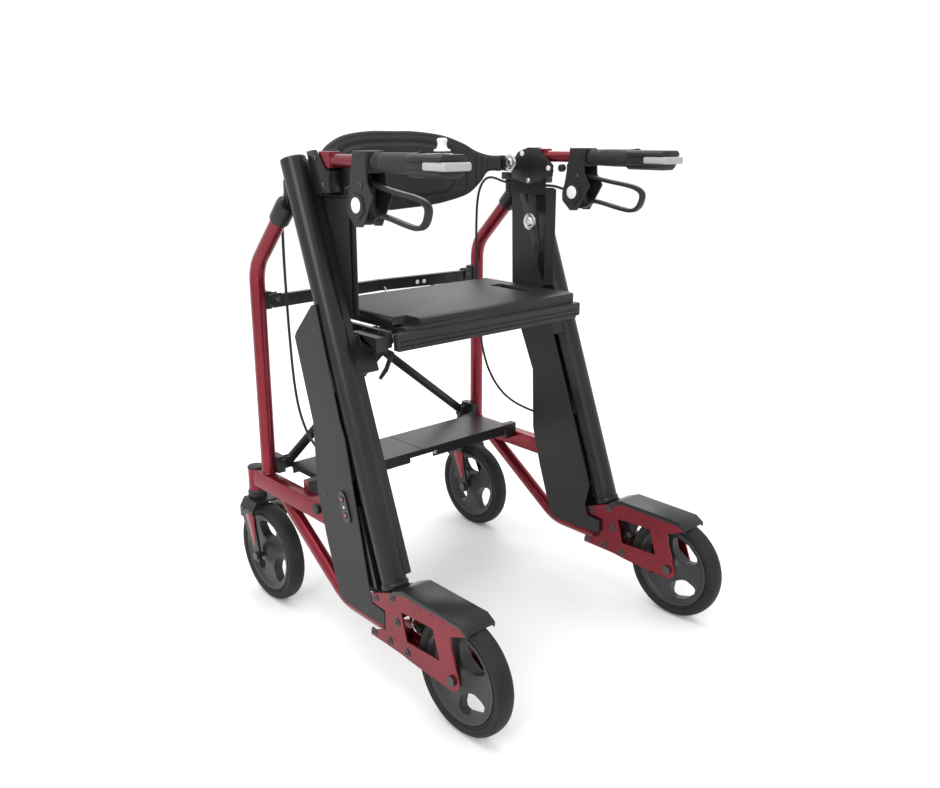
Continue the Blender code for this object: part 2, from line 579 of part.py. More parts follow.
def brake_lever(side):
    """A closed loop that runs out under the grip, with its root between the housing's plates."""
    x = SIDES[side] * HANDLE_X
    loop = [(-0.034, 0.8280), (-0.090, 0.8165), (-0.164, 0.8055), (-0.1785, 0.7950), (-0.1745, 0.7710), (-0.1510, 0.7580),
            (-0.086, 0.7675), (-0.062, 0.7700), (-0.046, 0.7600), (-0.024, 0.7580), (-0.020, 0.7680), (-0.026, 0.8100)]
    hole = [(-0.058, 0.8130), (-0.092, 0.8075), (-0.159, 0.7975), (-0.1685, 0.7900), (-0.1655, 0.7750), (-0.1500, 0.7670),
            (-0.088, 0.7762), (-0.062, 0.7790), (-0.050, 0.7760)]
    lever = flat(f"brake_lever_{side}", CHARCOAL, loop, (x, 0, 0), 0.014, FACE_YZ)
    cut(lever, flat(f"lever_hole_{side}", CHARCOAL, hole, (x, 0, 0), 0.03, FACE_YZ))
    return lever


CABLE_ROUTE = [    # (distance inside the side frame's middle, y, z)
    (0.0296, -0.0040, 0.7920), (0.0301, 0.0060, 0.7928), (0.0311, 0.0180, 0.7950), (0.0316, 0.0320, 0.7974),
    (0.0316, 0.0500, 0.7978), (0.0316, 0.0750, 0.7978), (0.0316, 0.1000, 0.7980), (0.0316, 0.1250, 0.7985),
    (0.0319, 0.1450, 0.7990), (0.0326, 0.1620, 0.8000), (0.0336, 0.1780, 0.8025), (0.0346, 0.1930, 0.8065),
    (0.0353, 0.2080, 0.8080), (0.0359, 0.2220, 0.8040), (0.0361, 0.2340, 0.7930), (0.0361, 0.2425, 0.7760),
    (0.0361, 0.2475, 0.7520), (0.0361, 0.2495, 0.7200), (0.0361, 0.2500, 0.6800), (0.0359, 0.2490, 0.6400),
    (0.0358, 0.2475, 0.6000), (0.0356, 0.2455, 0.5600), (0.0353, 0.2425, 0.5200), (0.0346, 0.2380, 0.4800),
    (0.0331, 0.2300, 0.4400), (0.0311, 0.2160, 0.4020), (0.0291, 0.1950, 0.3720), (0.0276, 0.1690, 0.3510),
    (0.0266, 0.1400, 0.3390), (0.0261, 0.1120, 0.3335), (0.0261, 0.0900, 0.3312), (0.0261, 0.0760, 0.3306),
]


def brake_cable(side):
    sign = SIDES[side]
    return pipe(f"brake_cable_{side}", BLACK, [(sign * (HALF_TRACK - x), y, z) for x, y, z in CABLE_ROUTE], CABLE_RADIUS, 2)


# ---- folding cross frame ------------------------------------------------------------------------------
def strut(side):
    """Half of the upper strut. The halves meet over a hinge on their lower edge."""
    sign = SIDES[side]
    hinge_z = STRUT_Z - PIVOT_X / math.cos(FOLD_DROP) * math.sin(FOLD_DROP)
    outline = [(CLEAR, hinge_z + 0.0008), (CLEAR, 0.611), (PIVOT_X + 0.007, 0.6075), (PIVOT_X + 0.007, 0.5835)]
    return flat(f"strut_{side}", BLACK, [(sign * x, z) for x, z in outline], (0, STRUT_Y, 0), STRUT_THICK, FACE_XZ)


def x_bar(side):
    """A cross bar from its lower clamp up to the strut of the other side, in its own plane."""
    sign = SIDES[side]
    slope = math.atan2(XBAR_CROSS_RISE, PIVOT_X * math.cos(FOLD_DROP))
    tail = 0.009
    reach = XBAR_LENGTH + tail
    y = STRUT_Y + sign * XBAR_OFFSET
    middle = Vector((-sign * (PIVOT_X - (reach / 2 - tail) * math.cos(slope)) * -1, y, XBAR_Z + (reach / 2 - tail) * math.sin(slope)))
    half = Vector((reach / 2, XBAR_THICK / 2, XBAR_WIDTH / 2))
    return box(f"x_bar_{side}", BLACK, middle - half, middle + half, 0.002, (0, sign * slope, 0))


def footplate(side):
    """Half of the lower plate: a board with a flange under its two long edges, cut back at the middle hinge."""
    sign = SIDES[side]
    thick = PIVOT_X * math.tan(FOLD_DROP)
    inner, outer = sorted((sign * CLEAR, sign * (PIVOT_X - CLEAR)))
    low = FOOTPLATE_Z - thick + 0.0003
    board = box(f"footplate_{side}", BLACK, (inner, FOOTPLATE_NEAR, low), (outer, FOOTPLATE_FAR, FOOTPLATE_Z))
    for edge in (FOOTPLATE_NEAR, FOOTPLATE_FAR - 0.004):
        near, far = sorted((sign * 0.030, sign * (PIVOT_X - 0.002)))
        join(board, box(f"flange_{side}_{edge:.2f}", BLACK, (near, edge, FOOTPLATE_Z - FOOTPLATE_FLANGE),
                        (far, edge + 0.004, FOOTPLATE_Z - 0.004)))
    return board


# ---- seat and backrest --------------------------------------------------------------------------------
def carriage(side):
    """The slide on the column's rail and the arm that carries one side of the seat."""
    sign = SIDES[side]
    arm_top = SEAT_LOW - GAP
    near, far = sorted((sign * ARM_IN, sign * ARM_OUT))
    arm = box(f"carriage_{side}", BLACK, (near, -0.028, ARM_LOW), (far, 0.046, arm_top))
    along = (0.566 - COLUMN_BASE_Z) / math.cos(COLUMN_LEAN)
    y, z = column_point(along - 0.028, -0.0085)
    near, far = sorted((sign * ARM_IN, sign * (HALF_TRACK - RAIL_REACH - CLEAR)))
    join(arm, box(f"carriage_slide_{side}", BLACK, (near, y - 0.008, z - 0.033), (far, y + 0.008, z + 0.033), 0, LEAN))
    if side == "left":
        hinge_x, hinge_z = SEAT_HINGE
        for ear_y in (-0.010, 0.034):
            join(arm, box(f"hinge_ear_{ear_y:.3f}", BLACK, (-ARM_IN - 0.004, ear_y, hinge_z - 0.008),
                          (hinge_x + 0.007, ear_y + 0.005, hinge_z + 0.008)))
    return arm


def seat():
    """The board, its apron under the near edge, and the hinge knuckle on its left edge."""
    near_top = SEAT_HIGH - 0.013
    board = box("seat", CHARCOAL, (SEAT_LEFT, SEAT_NEAR, SEAT_LOW), (SEAT_RIGHT, SEAT_FAR, SEAT_HIGH), 0.004)
    slope = box("seat_slope", CHARCOAL, (SEAT_LEFT - 0.05, SEAT_NEAR - 0.070, SEAT_HIGH - 0.0045),
                (SEAT_RIGHT + 0.05, SEAT_NEAR + 0.044, SEAT_HIGH + 0.026), 0, (math.radians(13), 0, 0))
    slot = box("seat_slot", CHARCOAL, (SEAT_RIGHT - 0.047, 0.045, SEAT_HIGH - 0.008), (SEAT_RIGHT - 0.034, 0.130, SEAT_HIGH + 0.01))
    cut(board, slope, slot)
    hinge_x, hinge_z = SEAT_HINGE
    apron = box("seat_apron", CHARCOAL, (SEAT_LEFT - 0.023, SEAT_NEAR - 0.010, 0.551),
                (SEAT_RIGHT + 0.008, SEAT_NEAR + 0.0055, near_top - 0.006), 0.003)
    knuckle = rod("seat_knuckle", CHARCOAL, (hinge_x, 0.0145, hinge_z), 0.0380, 0.007, TURN_TO_Y, 24)
    leaf = box("seat_leaf", CHARCOAL, (hinge_x, -0.0045, hinge_z + 0.001), (SEAT_LEFT + 0.012, 0.0335, hinge_z + 0.0065))
    return join(board, apron, leaf, knuckle)


def backrest():
    """A moulded band between the top brackets, bowed forwards, wide at the middle and a strap at its ends."""
    end = HALF_TRACK - 0.0456
    top = [(0.0, 0.8990), (0.056, 0.8985), (0.117, 0.8910), (0.159, 0.8760), (0.182, 0.8620), (0.205, 0.8535), (end, 0.8520)]
    low = [(0.0, 0.7520), (0.083, 0.7570), (0.131, 0.7650), (0.169, 0.7780), (0.192, 0.8010), (0.205, 0.8210), (end, 0.8220)]

    def height(line, x):
        for (x0, z0), (x1, z1) in zip(line, line[1:]):
            if x <= x1:
                return z0 + (z1 - z0) * (x - x0) / (x1 - x0)
        return line[-1][1]

    def bow(x):
        return BACKREST_MIDDLE_Y - BACKREST_BOW * x**2 - BACKREST_HOOK * x**4

    columns, rows = 28, 6
    work = bmesh.new()
    bmesh.ops.create_grid(work, x_segments=columns, y_segments=rows, size=1)
    for vert in work.verts:
        x = vert.co.x * end
        share = (vert.co.y + 1) / 2
        low_z, high_z = height(low, abs(x)), height(top, abs(x))
        vert.co = (x, bow(x), low_z + (high_z - low_z) * share)
    mesh = bpy.data.meshes.new("backrest")
    work.to_mesh(mesh)
    work.free()
    obj = own(bpy.data.objects.new("backrest", mesh), "backrest", CHARCOAL)
    wall = obj.modifiers.new("thickness", "SOLIDIFY")
    wall.thickness = BACKREST_THICK
    wall.offset = 0
    return smooth(obj)


# ---- controls -----------------------------------------------------------------------------------------
def joystick():
    """A pawn-shaped knob on the head of the left grip."""
    foot = 0.868 + GAP
    profile = [(0.0, 0.0205), (0.0060, 0.0198), (0.0072, 0.0175), (0.0066, 0.0130), (0.0074, 0.0060), (0.0115, 0.0050),
               (0.0118, 0.0028), (0.0010, 0.0), (0.0, 0.0)]
    return turned("joystick", WHITE, profile, (-HANDLE_X, -0.205, foot), (0, 0, 0))


def control_panel():
    """An oval panel on the left cover, set along the column, with two push buttons in it."""
    outside = -(HALF_TRACK + BRACKET_WIDTH / 2)
    middle_y, middle_z = -0.0105, 0.295
    length, width, proud = 0.056, 0.021, 0.0025
    radius = width / 2
    straight = length / 2 - radius
    oval = arc((0, straight), radius, 0, 180, 8) + arc((0, -straight), radius, 180, 360, 8)
    turn_lean = (Matrix.Rotation(-COLUMN_LEAN, 4, "X") @ Matrix.Rotation(math.pi / 2, 4, "Z")
                 @ Matrix.Rotation(math.pi / 2, 4, "X")).to_euler()
    x = outside - GAP - proud / 2
    panel = flat("control_panel", CHARCOAL, oval, (x, middle_y, middle_z), proud, turn_lean)
    for name, along in (("up_button", 0.014), ("down_button", -0.014)):
        y = middle_y + along * math.sin(COLUMN_LEAN)
        z = middle_z + along * math.cos(COLUMN_LEAN)
        cut(panel, rod(name + "_hole", CHARCOAL, (x, y, z), 0.02, 0.0052, TURN_TO_X, 20))
        rod(name, CHARCOAL, (outside - GAP - proud, y, z), 0.0022, 0.0048, TURN_TO_X, 20)


def build():
    for side in SIDES:
        for which, y, span in (("rear", REAR_Y, BRACKET_WIDTH), ("caster", CASTER_Y, CASTER_LEG_GAP + 2 * CASTER_LEG)):
            wheel(side, which, y)
            axle(side, which, y, span)
        rear_plates(side)
        fender(side)
        column(side)
        outer_cover(side)
        inner_cover(side)
        front_tube(side)
        lower_tube(side)
        cross_member(side)
        top_bracket(side)
        caster_fork(side)
        handle(side)
        brake_housing(side)
        brake_lever(side)
        brake_cable(side)
        strut(side)
        x_bar(side)
        footplate(side)
        carriage(side)
    drive_units()
    seat()
    backrest()
    joystick()
    control_panel()


build()
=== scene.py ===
import json
import math

import bmesh
import bpy
from mathutils import Matrix, Vector


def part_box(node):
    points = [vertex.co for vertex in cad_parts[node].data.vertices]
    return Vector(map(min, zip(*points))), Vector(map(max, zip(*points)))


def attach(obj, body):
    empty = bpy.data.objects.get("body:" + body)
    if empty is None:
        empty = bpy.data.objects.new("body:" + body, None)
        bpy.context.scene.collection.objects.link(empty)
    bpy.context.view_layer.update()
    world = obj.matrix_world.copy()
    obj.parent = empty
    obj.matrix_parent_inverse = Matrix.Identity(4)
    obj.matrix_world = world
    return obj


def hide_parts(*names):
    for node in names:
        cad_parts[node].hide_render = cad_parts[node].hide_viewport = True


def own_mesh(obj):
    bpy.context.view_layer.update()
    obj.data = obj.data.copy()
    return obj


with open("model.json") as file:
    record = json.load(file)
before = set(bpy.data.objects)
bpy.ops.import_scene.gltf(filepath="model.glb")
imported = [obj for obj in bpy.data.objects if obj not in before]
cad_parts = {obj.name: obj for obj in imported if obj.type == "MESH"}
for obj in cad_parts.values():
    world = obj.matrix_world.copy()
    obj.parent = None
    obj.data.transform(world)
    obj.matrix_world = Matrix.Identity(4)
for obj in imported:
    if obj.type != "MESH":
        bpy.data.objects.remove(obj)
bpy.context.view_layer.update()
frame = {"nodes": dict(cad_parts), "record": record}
bodyOf = {node: body for body, nodes in frame["record"]["behaviour"]["bodies"].items() for node in nodes}
slotOf = {part["node"]: part["material_slot"] for part in frame["record"]["subparts"]}
sides = {"left": -1, "right": 1}
print("frame loaded:", len(bodyOf), "parts")

# camera, a little above the left grip and behind the walker
cameraLook = {"place": (-1.0763, -1.18195, 0.8950), "azimuth": -42.113, "down": 16.150, "roll": 0.152,
              "lens": 34.47}
azimuth, down = math.radians(cameraLook["azimuth"]), math.radians(cameraLook["down"])
forward = Vector((-math.sin(azimuth) * math.cos(down), math.cos(azimuth) * math.cos(down), -math.sin(down)))
cameraData = bpy.data.cameras.new("viewCamera")
cameraData.lens = cameraLook["lens"]
cameraData.sensor_width = 36
camera = bpy.data.objects.new("viewCamera", cameraData)
bpy.context.scene.collection.objects.link(camera)
roll = Matrix.Rotation(math.radians(cameraLook["roll"]), 4, "Z")
turned = forward.to_track_quat("-Z", "Y").to_matrix().to_4x4() @ roll
turned.translation = cameraLook["place"]
camera.matrix_world = turned
bpy.context.scene.camera = camera

# soft studio light: a big panel overhead, one by the camera, a dimmer one behind
studioLights = {
    "overhead": {"place": (-0.4, 0.2, 2.9), "size": 2.6, "power": 34},
    "bySide": {"place": (-2.6, -1.2, 1.9), "size": 1.2, "power": 30},
    "behind": {"place": (1.9, 1.8, 2.2), "size": 1.6, "power": 18},
}
for name, look in studioLights.items():
    panel = bpy.data.lights.new(name, "AREA")
    panel.size = look["size"]
    panel.energy = look["power"]
    lamp = bpy.data.objects.new(name, panel)
    lamp.location = look["place"]
    lamp.rotation_euler = (Vector((0, 0, 0.4)) - Vector(look["place"])).to_track_quat("-Z", "Y").to_euler()
    bpy.context.scene.collection.objects.link(lamp)
world = bpy.data.worlds.new("studio")
world.use_nodes = True
world.node_tree.nodes["Background"].inputs["Color"].default_value = (1, 1, 1, 1)
world.node_tree.nodes["Background"].inputs["Strength"].default_value = 1.09
bpy.context.scene.world = world
bpy.context.scene.view_settings.view_transform = "Standard"
print("camera and lights set")


# finishes: colour drift, fine grain and its own roughness for each
def finish(name, low, high, rough, grain, drift=9.0, bump=0.15, metallic=0.0, coat=0.0, stretch=(1, 1, 1),
           flakes=0.0, specular=0.5, sheen=0.0, grainKind="noise"):
    made = bpy.data.materials.new(name)
    made.use_nodes = True
    nodes, links = made.node_tree.nodes, made.node_tree.links
    shader = nodes["Principled BSDF"]
    shader.inputs["Metallic"].default_value = metallic
    shader.inputs["Coat Weight"].default_value = coat
    shader.inputs["Coat Roughness"].default_value = 0.12
    shader.inputs["Specular IOR Level"].default_value = specular
    shader.inputs["Sheen Weight"].default_value = sheen
    place = nodes.new("ShaderNodeTexCoord")
    mapping = nodes.new("ShaderNodeMapping")
    mapping.inputs["Scale"].default_value = stretch
    links.new(place.outputs["Object"], mapping.inputs["Vector"])
    cloud = nodes.new("ShaderNodeTexNoise")
    cloud.inputs["Scale"].default_value = drift
    cloud.inputs["Detail"].default_value = 5
    links.new(mapping.outputs["Vector"], cloud.inputs["Vector"])
    colours = nodes.new("ShaderNodeValToRGB")
    colours.color_ramp.elements[0].position, colours.color_ramp.elements[1].position = 0.3, 0.7
    colours.color_ramp.elements[0].color = (*low, 1)
    colours.color_ramp.elements[1].color = (*high, 1)
    links.new(cloud.outputs["Fac"], colours.inputs["Fac"])
    colour = colours.outputs["Color"]
    if grainKind == "voronoi":
        fine = nodes.new("ShaderNodeTexVoronoi")
        fineOut = fine.outputs["Distance"]
    else:
        fine = nodes.new("ShaderNodeTexNoise")
        fine.inputs["Detail"].default_value = 3
        fineOut = fine.outputs["Fac"]
    fine.inputs["Scale"].default_value = grain
    links.new(mapping.outputs["Vector"], fine.inputs["Vector"])
    if flakes:  # light metal flakes under the lacquer
        spots = nodes.new("ShaderNodeTexVoronoi")
        spots.inputs["Scale"].default_value = 1700
        links.new(place.outputs["Object"], spots.inputs["Vector"])
        lighter = nodes.new("ShaderNodeMix")
        lighter.data_type = "RGBA"
        lighter.blend_type = "OVERLAY"
        lighter.inputs["Factor"].default_value = flakes
        links.new(colour, lighter.inputs["A"])
        links.new(spots.outputs["Color"], lighter.inputs["B"])
        colour = lighter.outputs["Result"]
    links.new(colour, shader.inputs["Base Color"])
    spread = nodes.new("ShaderNodeMapRange")
    spread.inputs["To Min"].default_value, spread.inputs["To Max"].default_value = rough
    links.new(fineOut, spread.inputs["Value"])
    links.new(spread.outputs["Result"], shader.inputs["Roughness"])
    relief = nodes.new("ShaderNodeBump")
    relief.inputs["Strength"].default_value = bump
    relief.inputs["Distance"].default_value = 0.0002
    links.new(fineOut, relief.inputs["Height"])
    links.new(relief.outputs["Normal"], shader.inputs["Normal"])
    made.diffuse_color = (*high, 1)
    return made


redPaint = finish("redPaint", (0.150, 0.008, 0.016), (0.225, 0.012, 0.024), (0.22, 0.36), 420, bump=0.10,
                  metallic=0.70, coat=0.30, flakes=0.20, specular=0.3)
blackPaint = finish("blackPaint", (0.006, 0.006, 0.007), (0.012, 0.012, 0.013), (0.26, 0.42), 900, bump=0.22,
                    coat=0.06, specular=0.30)
glossBlack = finish("glossBlack", (0.005, 0.005, 0.006), (0.010, 0.010, 0.011), (0.14, 0.24), 260, bump=0.06,
                    coat=0.2, specular=0.35)
sheetCharcoal = finish("sheetCharcoal", (0.009, 0.009, 0.010), (0.015, 0.015, 0.017), (0.40, 0.54), 1300,
                       bump=0.25, specular=0.32)
mouldedPlastic = finish("mouldedPlastic", (0.010, 0.010, 0.011), (0.018, 0.018, 0.019), (0.38, 0.56), 1500,
                        bump=0.35, grainKind="voronoi", specular=0.32)
seatPlastic = finish("seatPlastic", (0.009, 0.009, 0.010), (0.015, 0.015, 0.016), (0.36, 0.58), 1100,
                     bump=0.45, grainKind="voronoi", specular=0.32)
gripRubber = finish("gripRubber", (0.010, 0.010, 0.011), (0.017, 0.017, 0.018), (0.50, 0.70), 1400, bump=0.4,
                    sheen=0.04, specular=0.30)
tyreRubber = finish("tyreRubber", (0.007, 0.007, 0.007), (0.015, 0.0145, 0.014), (0.56, 0.78), 700, drift=22,
                    bump=0.45, specular=0.28)
rimPlastic = finish("rimPlastic", (0.018, 0.018, 0.020), (0.029, 0.029, 0.032), (0.34, 0.50), 1200, bump=0.25,
                    specular=0.35)
foamSkin = finish("foamSkin", (0.010, 0.010, 0.011), (0.018, 0.018, 0.020), (0.50, 0.72), 1800, bump=0.6,
                  sheen=0.05, grainKind="voronoi", specular=0.32)
cableSleeve = finish("cableSleeve", (0.006, 0.006, 0.006), (0.013, 0.013, 0.013), (0.34, 0.52), 500, bump=0.2,
                     specular=0.32)
whitePlastic = finish("whitePlastic", (0.66, 0.66, 0.65), (0.78, 0.78, 0.77), (0.28, 0.42), 600, bump=0.12)
greyPlastic = finish("greyPlastic", (0.30, 0.30, 0.31), (0.39, 0.39, 0.40), (0.34, 0.50), 900, bump=0.2)
brushedSteel = finish("brushedSteel", (0.46, 0.46, 0.47), (0.66, 0.66, 0.67), (0.18, 0.36), 700, bump=0.2,
                      metallic=1.0, stretch=(1, 1, 6))
darkSteel = finish("darkSteel", (0.05, 0.05, 0.052), (0.10, 0.10, 0.104), (0.30, 0.46), 800, bump=0.25,
                   metallic=0.8)
orangeMark = finish("orangeMark", (0.62, 0.13, 0.02), (0.74, 0.19, 0.03), (0.36, 0.50), 900, bump=0.1)
floorPaint = finish("floorPaint", (0.92, 0.92, 0.92), (0.94, 0.94, 0.94), (0.75, 0.85), 60, drift=0.8,
                    bump=0.02)
print("finishes made")


# making pieces
def place(work, name, material, body, slot, sharp=35):
    mesh = bpy.data.meshes.new(name)
    work.to_mesh(mesh)
    work.free()
    piece = bpy.data.objects.new(name, mesh)
    bpy.context.scene.collection.objects.link(piece)
    mesh.materials.append(material)
    mesh.shade_smooth()
    mesh.set_sharp_from_angle(angle=math.radians(sharp))
    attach(piece, body)
    return piece


def aim(work, towards, at):
    turn = Vector((0, 0, 1)).rotation_difference(Vector(towards)).to_matrix()
    bmesh.ops.rotate(work, verts=work.verts, cent=(0, 0, 0), matrix=turn)
    bmesh.ops.translate(work, verts=work.verts, vec=at)
    return work


# the profile is (radius, height), and closes on the axis or on itself
def spun(profile, steps=32, towards=(0, 0, 1), at=(0, 0, 0)):
    work = bmesh.new()
    verts = [work.verts.new((radius, 0, height)) for radius, height in profile]
    edges = [work.edges.new(pair) for pair in zip(verts, verts[1:])]
    bmesh.ops.spin(work, geom=verts + edges, cent=(0, 0, 0), axis=(0, 0, 1), angle=math.tau, steps=steps,
                   use_merge=True)
    bmesh.ops.remove_doubles(work, verts=work.verts, dist=1e-6)
    bmesh.ops.recalc_face_normals(work, faces=work.faces)
    return aim(work, towards, at)


def rounded(work, width, segments=2, angle=35):
    least = math.radians(angle)
    edges = [edge for edge in work.edges if len(edge.link_faces) == 2 and edge.calc_face_angle(0) > least]
    bmesh.ops.bevel(work, geom=edges, offset=width, offset_type="OFFSET", affect="EDGES", segments=segments,
                    profile=0.5, material=-1, clamp_overlap=True)
    return work


def block(low, high, edge=0.001, segments=2):
    work = bmesh.new()
    bmesh.ops.create_cube(work, size=1)
    low, high = Vector(low), Vector(high)
    bmesh.ops.scale(work, verts=work.verts, vec=[abs(side) for side in high - low])
    bmesh.ops.translate(work, verts=work.verts, vec=(low + high) / 2)
    return rounded(work, edge, segments) if edge else work


def slab(outline, near, far, edge=0.0008, across="x"):  # an outline in the YZ or XZ plane, pulled across it
    work = bmesh.new()
    if across == "x":
        ring = [work.verts.new((near, a, b)) for a, b in outline]
    else:
        ring = [work.verts.new((a, near, b)) for a, b in outline]
    sheet = work.faces.new(ring)
    pulled = bmesh.ops.extrude_face_region(work, geom=[sheet])["geom"]
    moved = [item for item in pulled if isinstance(item, bmesh.types.BMVert)]
    bmesh.ops.translate(work, verts=moved, vec=(far - near, 0, 0) if across == "x" else (0, far - near, 0))
    bmesh.ops.recalc_face_normals(work, faces=work.faces)
    return rounded(work, edge) if edge else work


def merged(node):
    work = bmesh.new()
    work.from_mesh(frame["nodes"][node].data)
    bmesh.ops.remove_doubles(work, verts=work.verts, dist=2e-6)
    bmesh.ops.dissolve_limit(work, angle_limit=math.radians(1.2), verts=work.verts, edges=work.edges)
    return work


def addEdge(piece, width, segments=2, angle=32):
    edge = piece.modifiers.new("edges", "BEVEL")
    edge.width = width
    edge.segments = segments
    edge.limit_method = "ANGLE"
    edge.angle_limit = math.radians(angle)
    edge.harden_normals = True
    return piece


def eased(node, material, width=0.0008, segments=2):  # the part itself with broken edges
    piece = place(merged(node), node + "_eased", material, bodyOf[node], slotOf[node])
    addEdge(piece, width, segments)
    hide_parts(node)
    return piece


def roundCurve(name, points, radius):
    curve = bpy.data.curves.new(name, "CURVE")
    curve.dimensions = "3D"
    curve.bevel_depth = radius
    curve.bevel_resolution = 3
    curve.use_fill_caps = True
    line = curve.splines.new("POLY")
    line.points.add(len(points) - 1)
    for point, at in zip(line.points, points):
        point.co = (*at, 1)
    return curve


def tube(points, radius):  # a smooth round bar along points
    curve = roundCurve("route", points, radius)
    holder = bpy.data.objects.new("route", curve)
    bpy.context.scene.collection.objects.link(holder)
    bpy.context.view_layer.update()
    mesh = bpy.data.meshes.new_from_object(holder.evaluated_get(bpy.context.evaluated_depsgraph_get()))
    bpy.data.objects.remove(holder)
    bpy.data.curves.remove(curve)
    work = bmesh.new()
    work.from_mesh(mesh)
    bpy.data.meshes.remove(mesh)
    bmesh.ops.remove_doubles(work, verts=work.verts, dist=1e-6)
    bmesh.ops.recalc_face_normals(work, faces=work.faces)
    return work


def flowing(points, steps=8):  # points along a smooth line through the given ones
    points = [Vector(point) for point in points]
    ends = [points[0] * 2 - points[1]] + points + [points[-1] * 2 - points[-2]]
    line = []
    for a, b, c, d in zip(ends, ends[1:], ends[2:], ends[3:]):
        for i in range(steps):
            t = i / steps
            square, cube = 2 * a - 5 * b + 4 * c - d, 3 * b - a - 3 * c + d
            line.append(0.5 * (2 * b + (c - a) * t + square * t**2 + cube * t**3))
    return line + [points[-1]]


def carve(piece, *cutters):
    for cutter in cutters:
        step = piece.modifiers.new("carve", "BOOLEAN")
        step.object = cutter
        step.operation = "DIFFERENCE"
        step.solver = "EXACT"
    bpy.context.view_layer.update()
    mesh = bpy.data.meshes.new_from_object(piece.evaluated_get(bpy.context.evaluated_depsgraph_get()))
    piece.modifiers.clear()
    piece.data = mesh
    for cutter in cutters:
        bpy.data.objects.remove(cutter)
    mesh.shade_smooth()
    mesh.set_sharp_from_angle(angle=math.radians(35))
    return piece


def cutter(work):
    mesh = bpy.data.meshes.new("cutter")
    work.to_mesh(mesh)
    work.free()
    obj = bpy.data.objects.new("cutter", mesh)
    bpy.context.scene.collection.objects.link(obj)
    return obj


def screw(name, at, towards, radius, body, material=darkSteel, slot="bright_steel", height=0.0028,
          socket=True):
    dip = 0.42 * radius if socket else 0.0
    profile = [(0, -0.0008), (radius, -0.0008), (radius, 0.3 * height), (0.93 * radius, 0.62 * height),
               (0.72 * radius, 0.92 * height), (max(0.50 * radius, dip), height)]
    if socket:
        profile += [(dip, 0.97 * height), (0.9 * dip, 0.35 * height), (0, 0.30 * height)]
    else:
        profile += [(0.25 * radius, 1.06 * height), (0, 1.08 * height)]
    return place(spun(profile, 24, towards, at), name, material, body, slot, 30)


# wheels
wheelLook = {"tyreOuter": 0.0975, "rimOuter": 0.0765, "halfWidth": 0.0163, "boss": 0.0215, "windows": 3,
             "windowSpread": 40, "windowInner": 0.0275, "windowRim": 0.0125, "windowEdge": 0.0011,
             "axleEdge": 0.0007}


def wheel(side, which, turnBy):
    low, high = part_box(f"{which}_tyre_{side}")
    middle = [(a + b) / 2 for a, b in zip(low, high)]
    outer, rim, half = wheelLook["tyreOuter"], wheelLook["rimOuter"], wheelLook["halfWidth"]
    upper = [(rim + 0.0003, 0.0), (rim + 0.0003, half - 0.0046), (rim + 0.0012, half - 0.0030),
             (rim + 0.0036, half - 0.0022), (rim + 0.0046, half - 0.0030), (rim + 0.0056, half - 0.0016),
             (outer - 0.0110, half - 0.0003), (outer - 0.0082, half), (outer - 0.0060, half - 0.0008),
             (outer - 0.0040, half - 0.0024), (outer - 0.0020, half - 0.0050),
             (outer - 0.0008, half - 0.0082), (outer - 0.0002, half - 0.0115), (outer, 0.0)]
    profile = upper + [(r, -z) for r, z in reversed(upper[1:-1])] + [upper[0]]
    tyre = place(spun(profile, 96, (1, 0, 0), middle), f"{which}_tyre_round_{side}", tyreRubber,
                 bodyOf[f"{which}_tyre_{side}"], "tyre_rubber", 28)
    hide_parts(f"{which}_tyre_{side}")
    boss = wheelLook["boss"]
    upper = [(0.0047, boss), (0.0120, boss), (0.0150, boss - 0.0012), (0.0205, 0.0140), (0.0265, 0.0104),
             (0.0400, 0.0088), (rim - 0.0150, 0.0084), (rim - 0.0110, 0.0092), (rim - 0.0080, 0.0122),
             (rim - 0.0060, 0.0136), (rim - 0.0004, 0.0138)]
    profile = upper + [(r, -z) for r, z in reversed(upper)] + [upper[0]]
    hub = place(spun(profile, 96, (1, 0, 0), middle), f"{which}_rim_{side}", rimPlastic,
                bodyOf[f"{which}_hub_{side}"], "charcoal_plastic", 30)
    pockets = []
    spread = math.radians(wheelLook["windowSpread"])
    inner, reach = wheelLook["windowInner"], rim - wheelLook["windowRim"]
    for window in range(wheelLook["windows"]):
        centre = math.radians(turnBy + 360 / wheelLook["windows"] * window)
        ring = [(inner, -0.30), (inner + 0.003, -0.62), (inner + 0.009, -0.80), (reach - 0.011, -0.86),
                (reach - 0.004, -0.80), (reach - 0.0005, -0.60), (reach, 0.0)]
        ring = [(r, a * spread) for r, a in ring] + [(r, -a * spread) for r, a in reversed(ring[:-1])]
        outline = [(middle[1] + r * math.cos(centre + a), middle[2] + r * math.sin(centre + a))
                   for r, a in ring]
        pockets.append(cutter(slab(outline, middle[0] - 0.03, middle[0] + 0.03, 0)))
    carve(hub, *pockets)
    addEdge(hub, wheelLook["windowEdge"], 2, 40)
    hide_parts(f"{which}_hub_{side}")
    for end in (-1, 1):  # bearing cap around the axle
        cap = [(0.0050, 0.0), (0.0112, 0.0), (0.0112, 0.0004), (0.0096, 0.0010), (0.0054, 0.0010),
               (0.0050, 0.0)]
        at = (middle[0] + end * boss, middle[1], middle[2])
        place(spun(cap, 32, (end, 0, 0), at), f"{which}_cap_{side}_{end + 1}", darkSteel,
              bodyOf[f"{which}_hub_{side}"], "bright_steel")


for side in sides:
    wheel(side, "rear", 0)
    wheel(side, "caster", 90)
    for which in ("rear", "caster"):
        eased(f"{which}_axle_{side}", darkSteel, wheelLook["axleEdge"])
print("wheels made")


# red frame, bracket plates, columns and covers, with broken edges and their fixings
def paint(piece, material, test):  # a second finish on the faces whose middle passes the test
    piece.data.materials.append(material)
    for face in piece.data.polygons:
        if test(face.center):
            face.material_index = len(piece.data.materials) - 1
    return piece


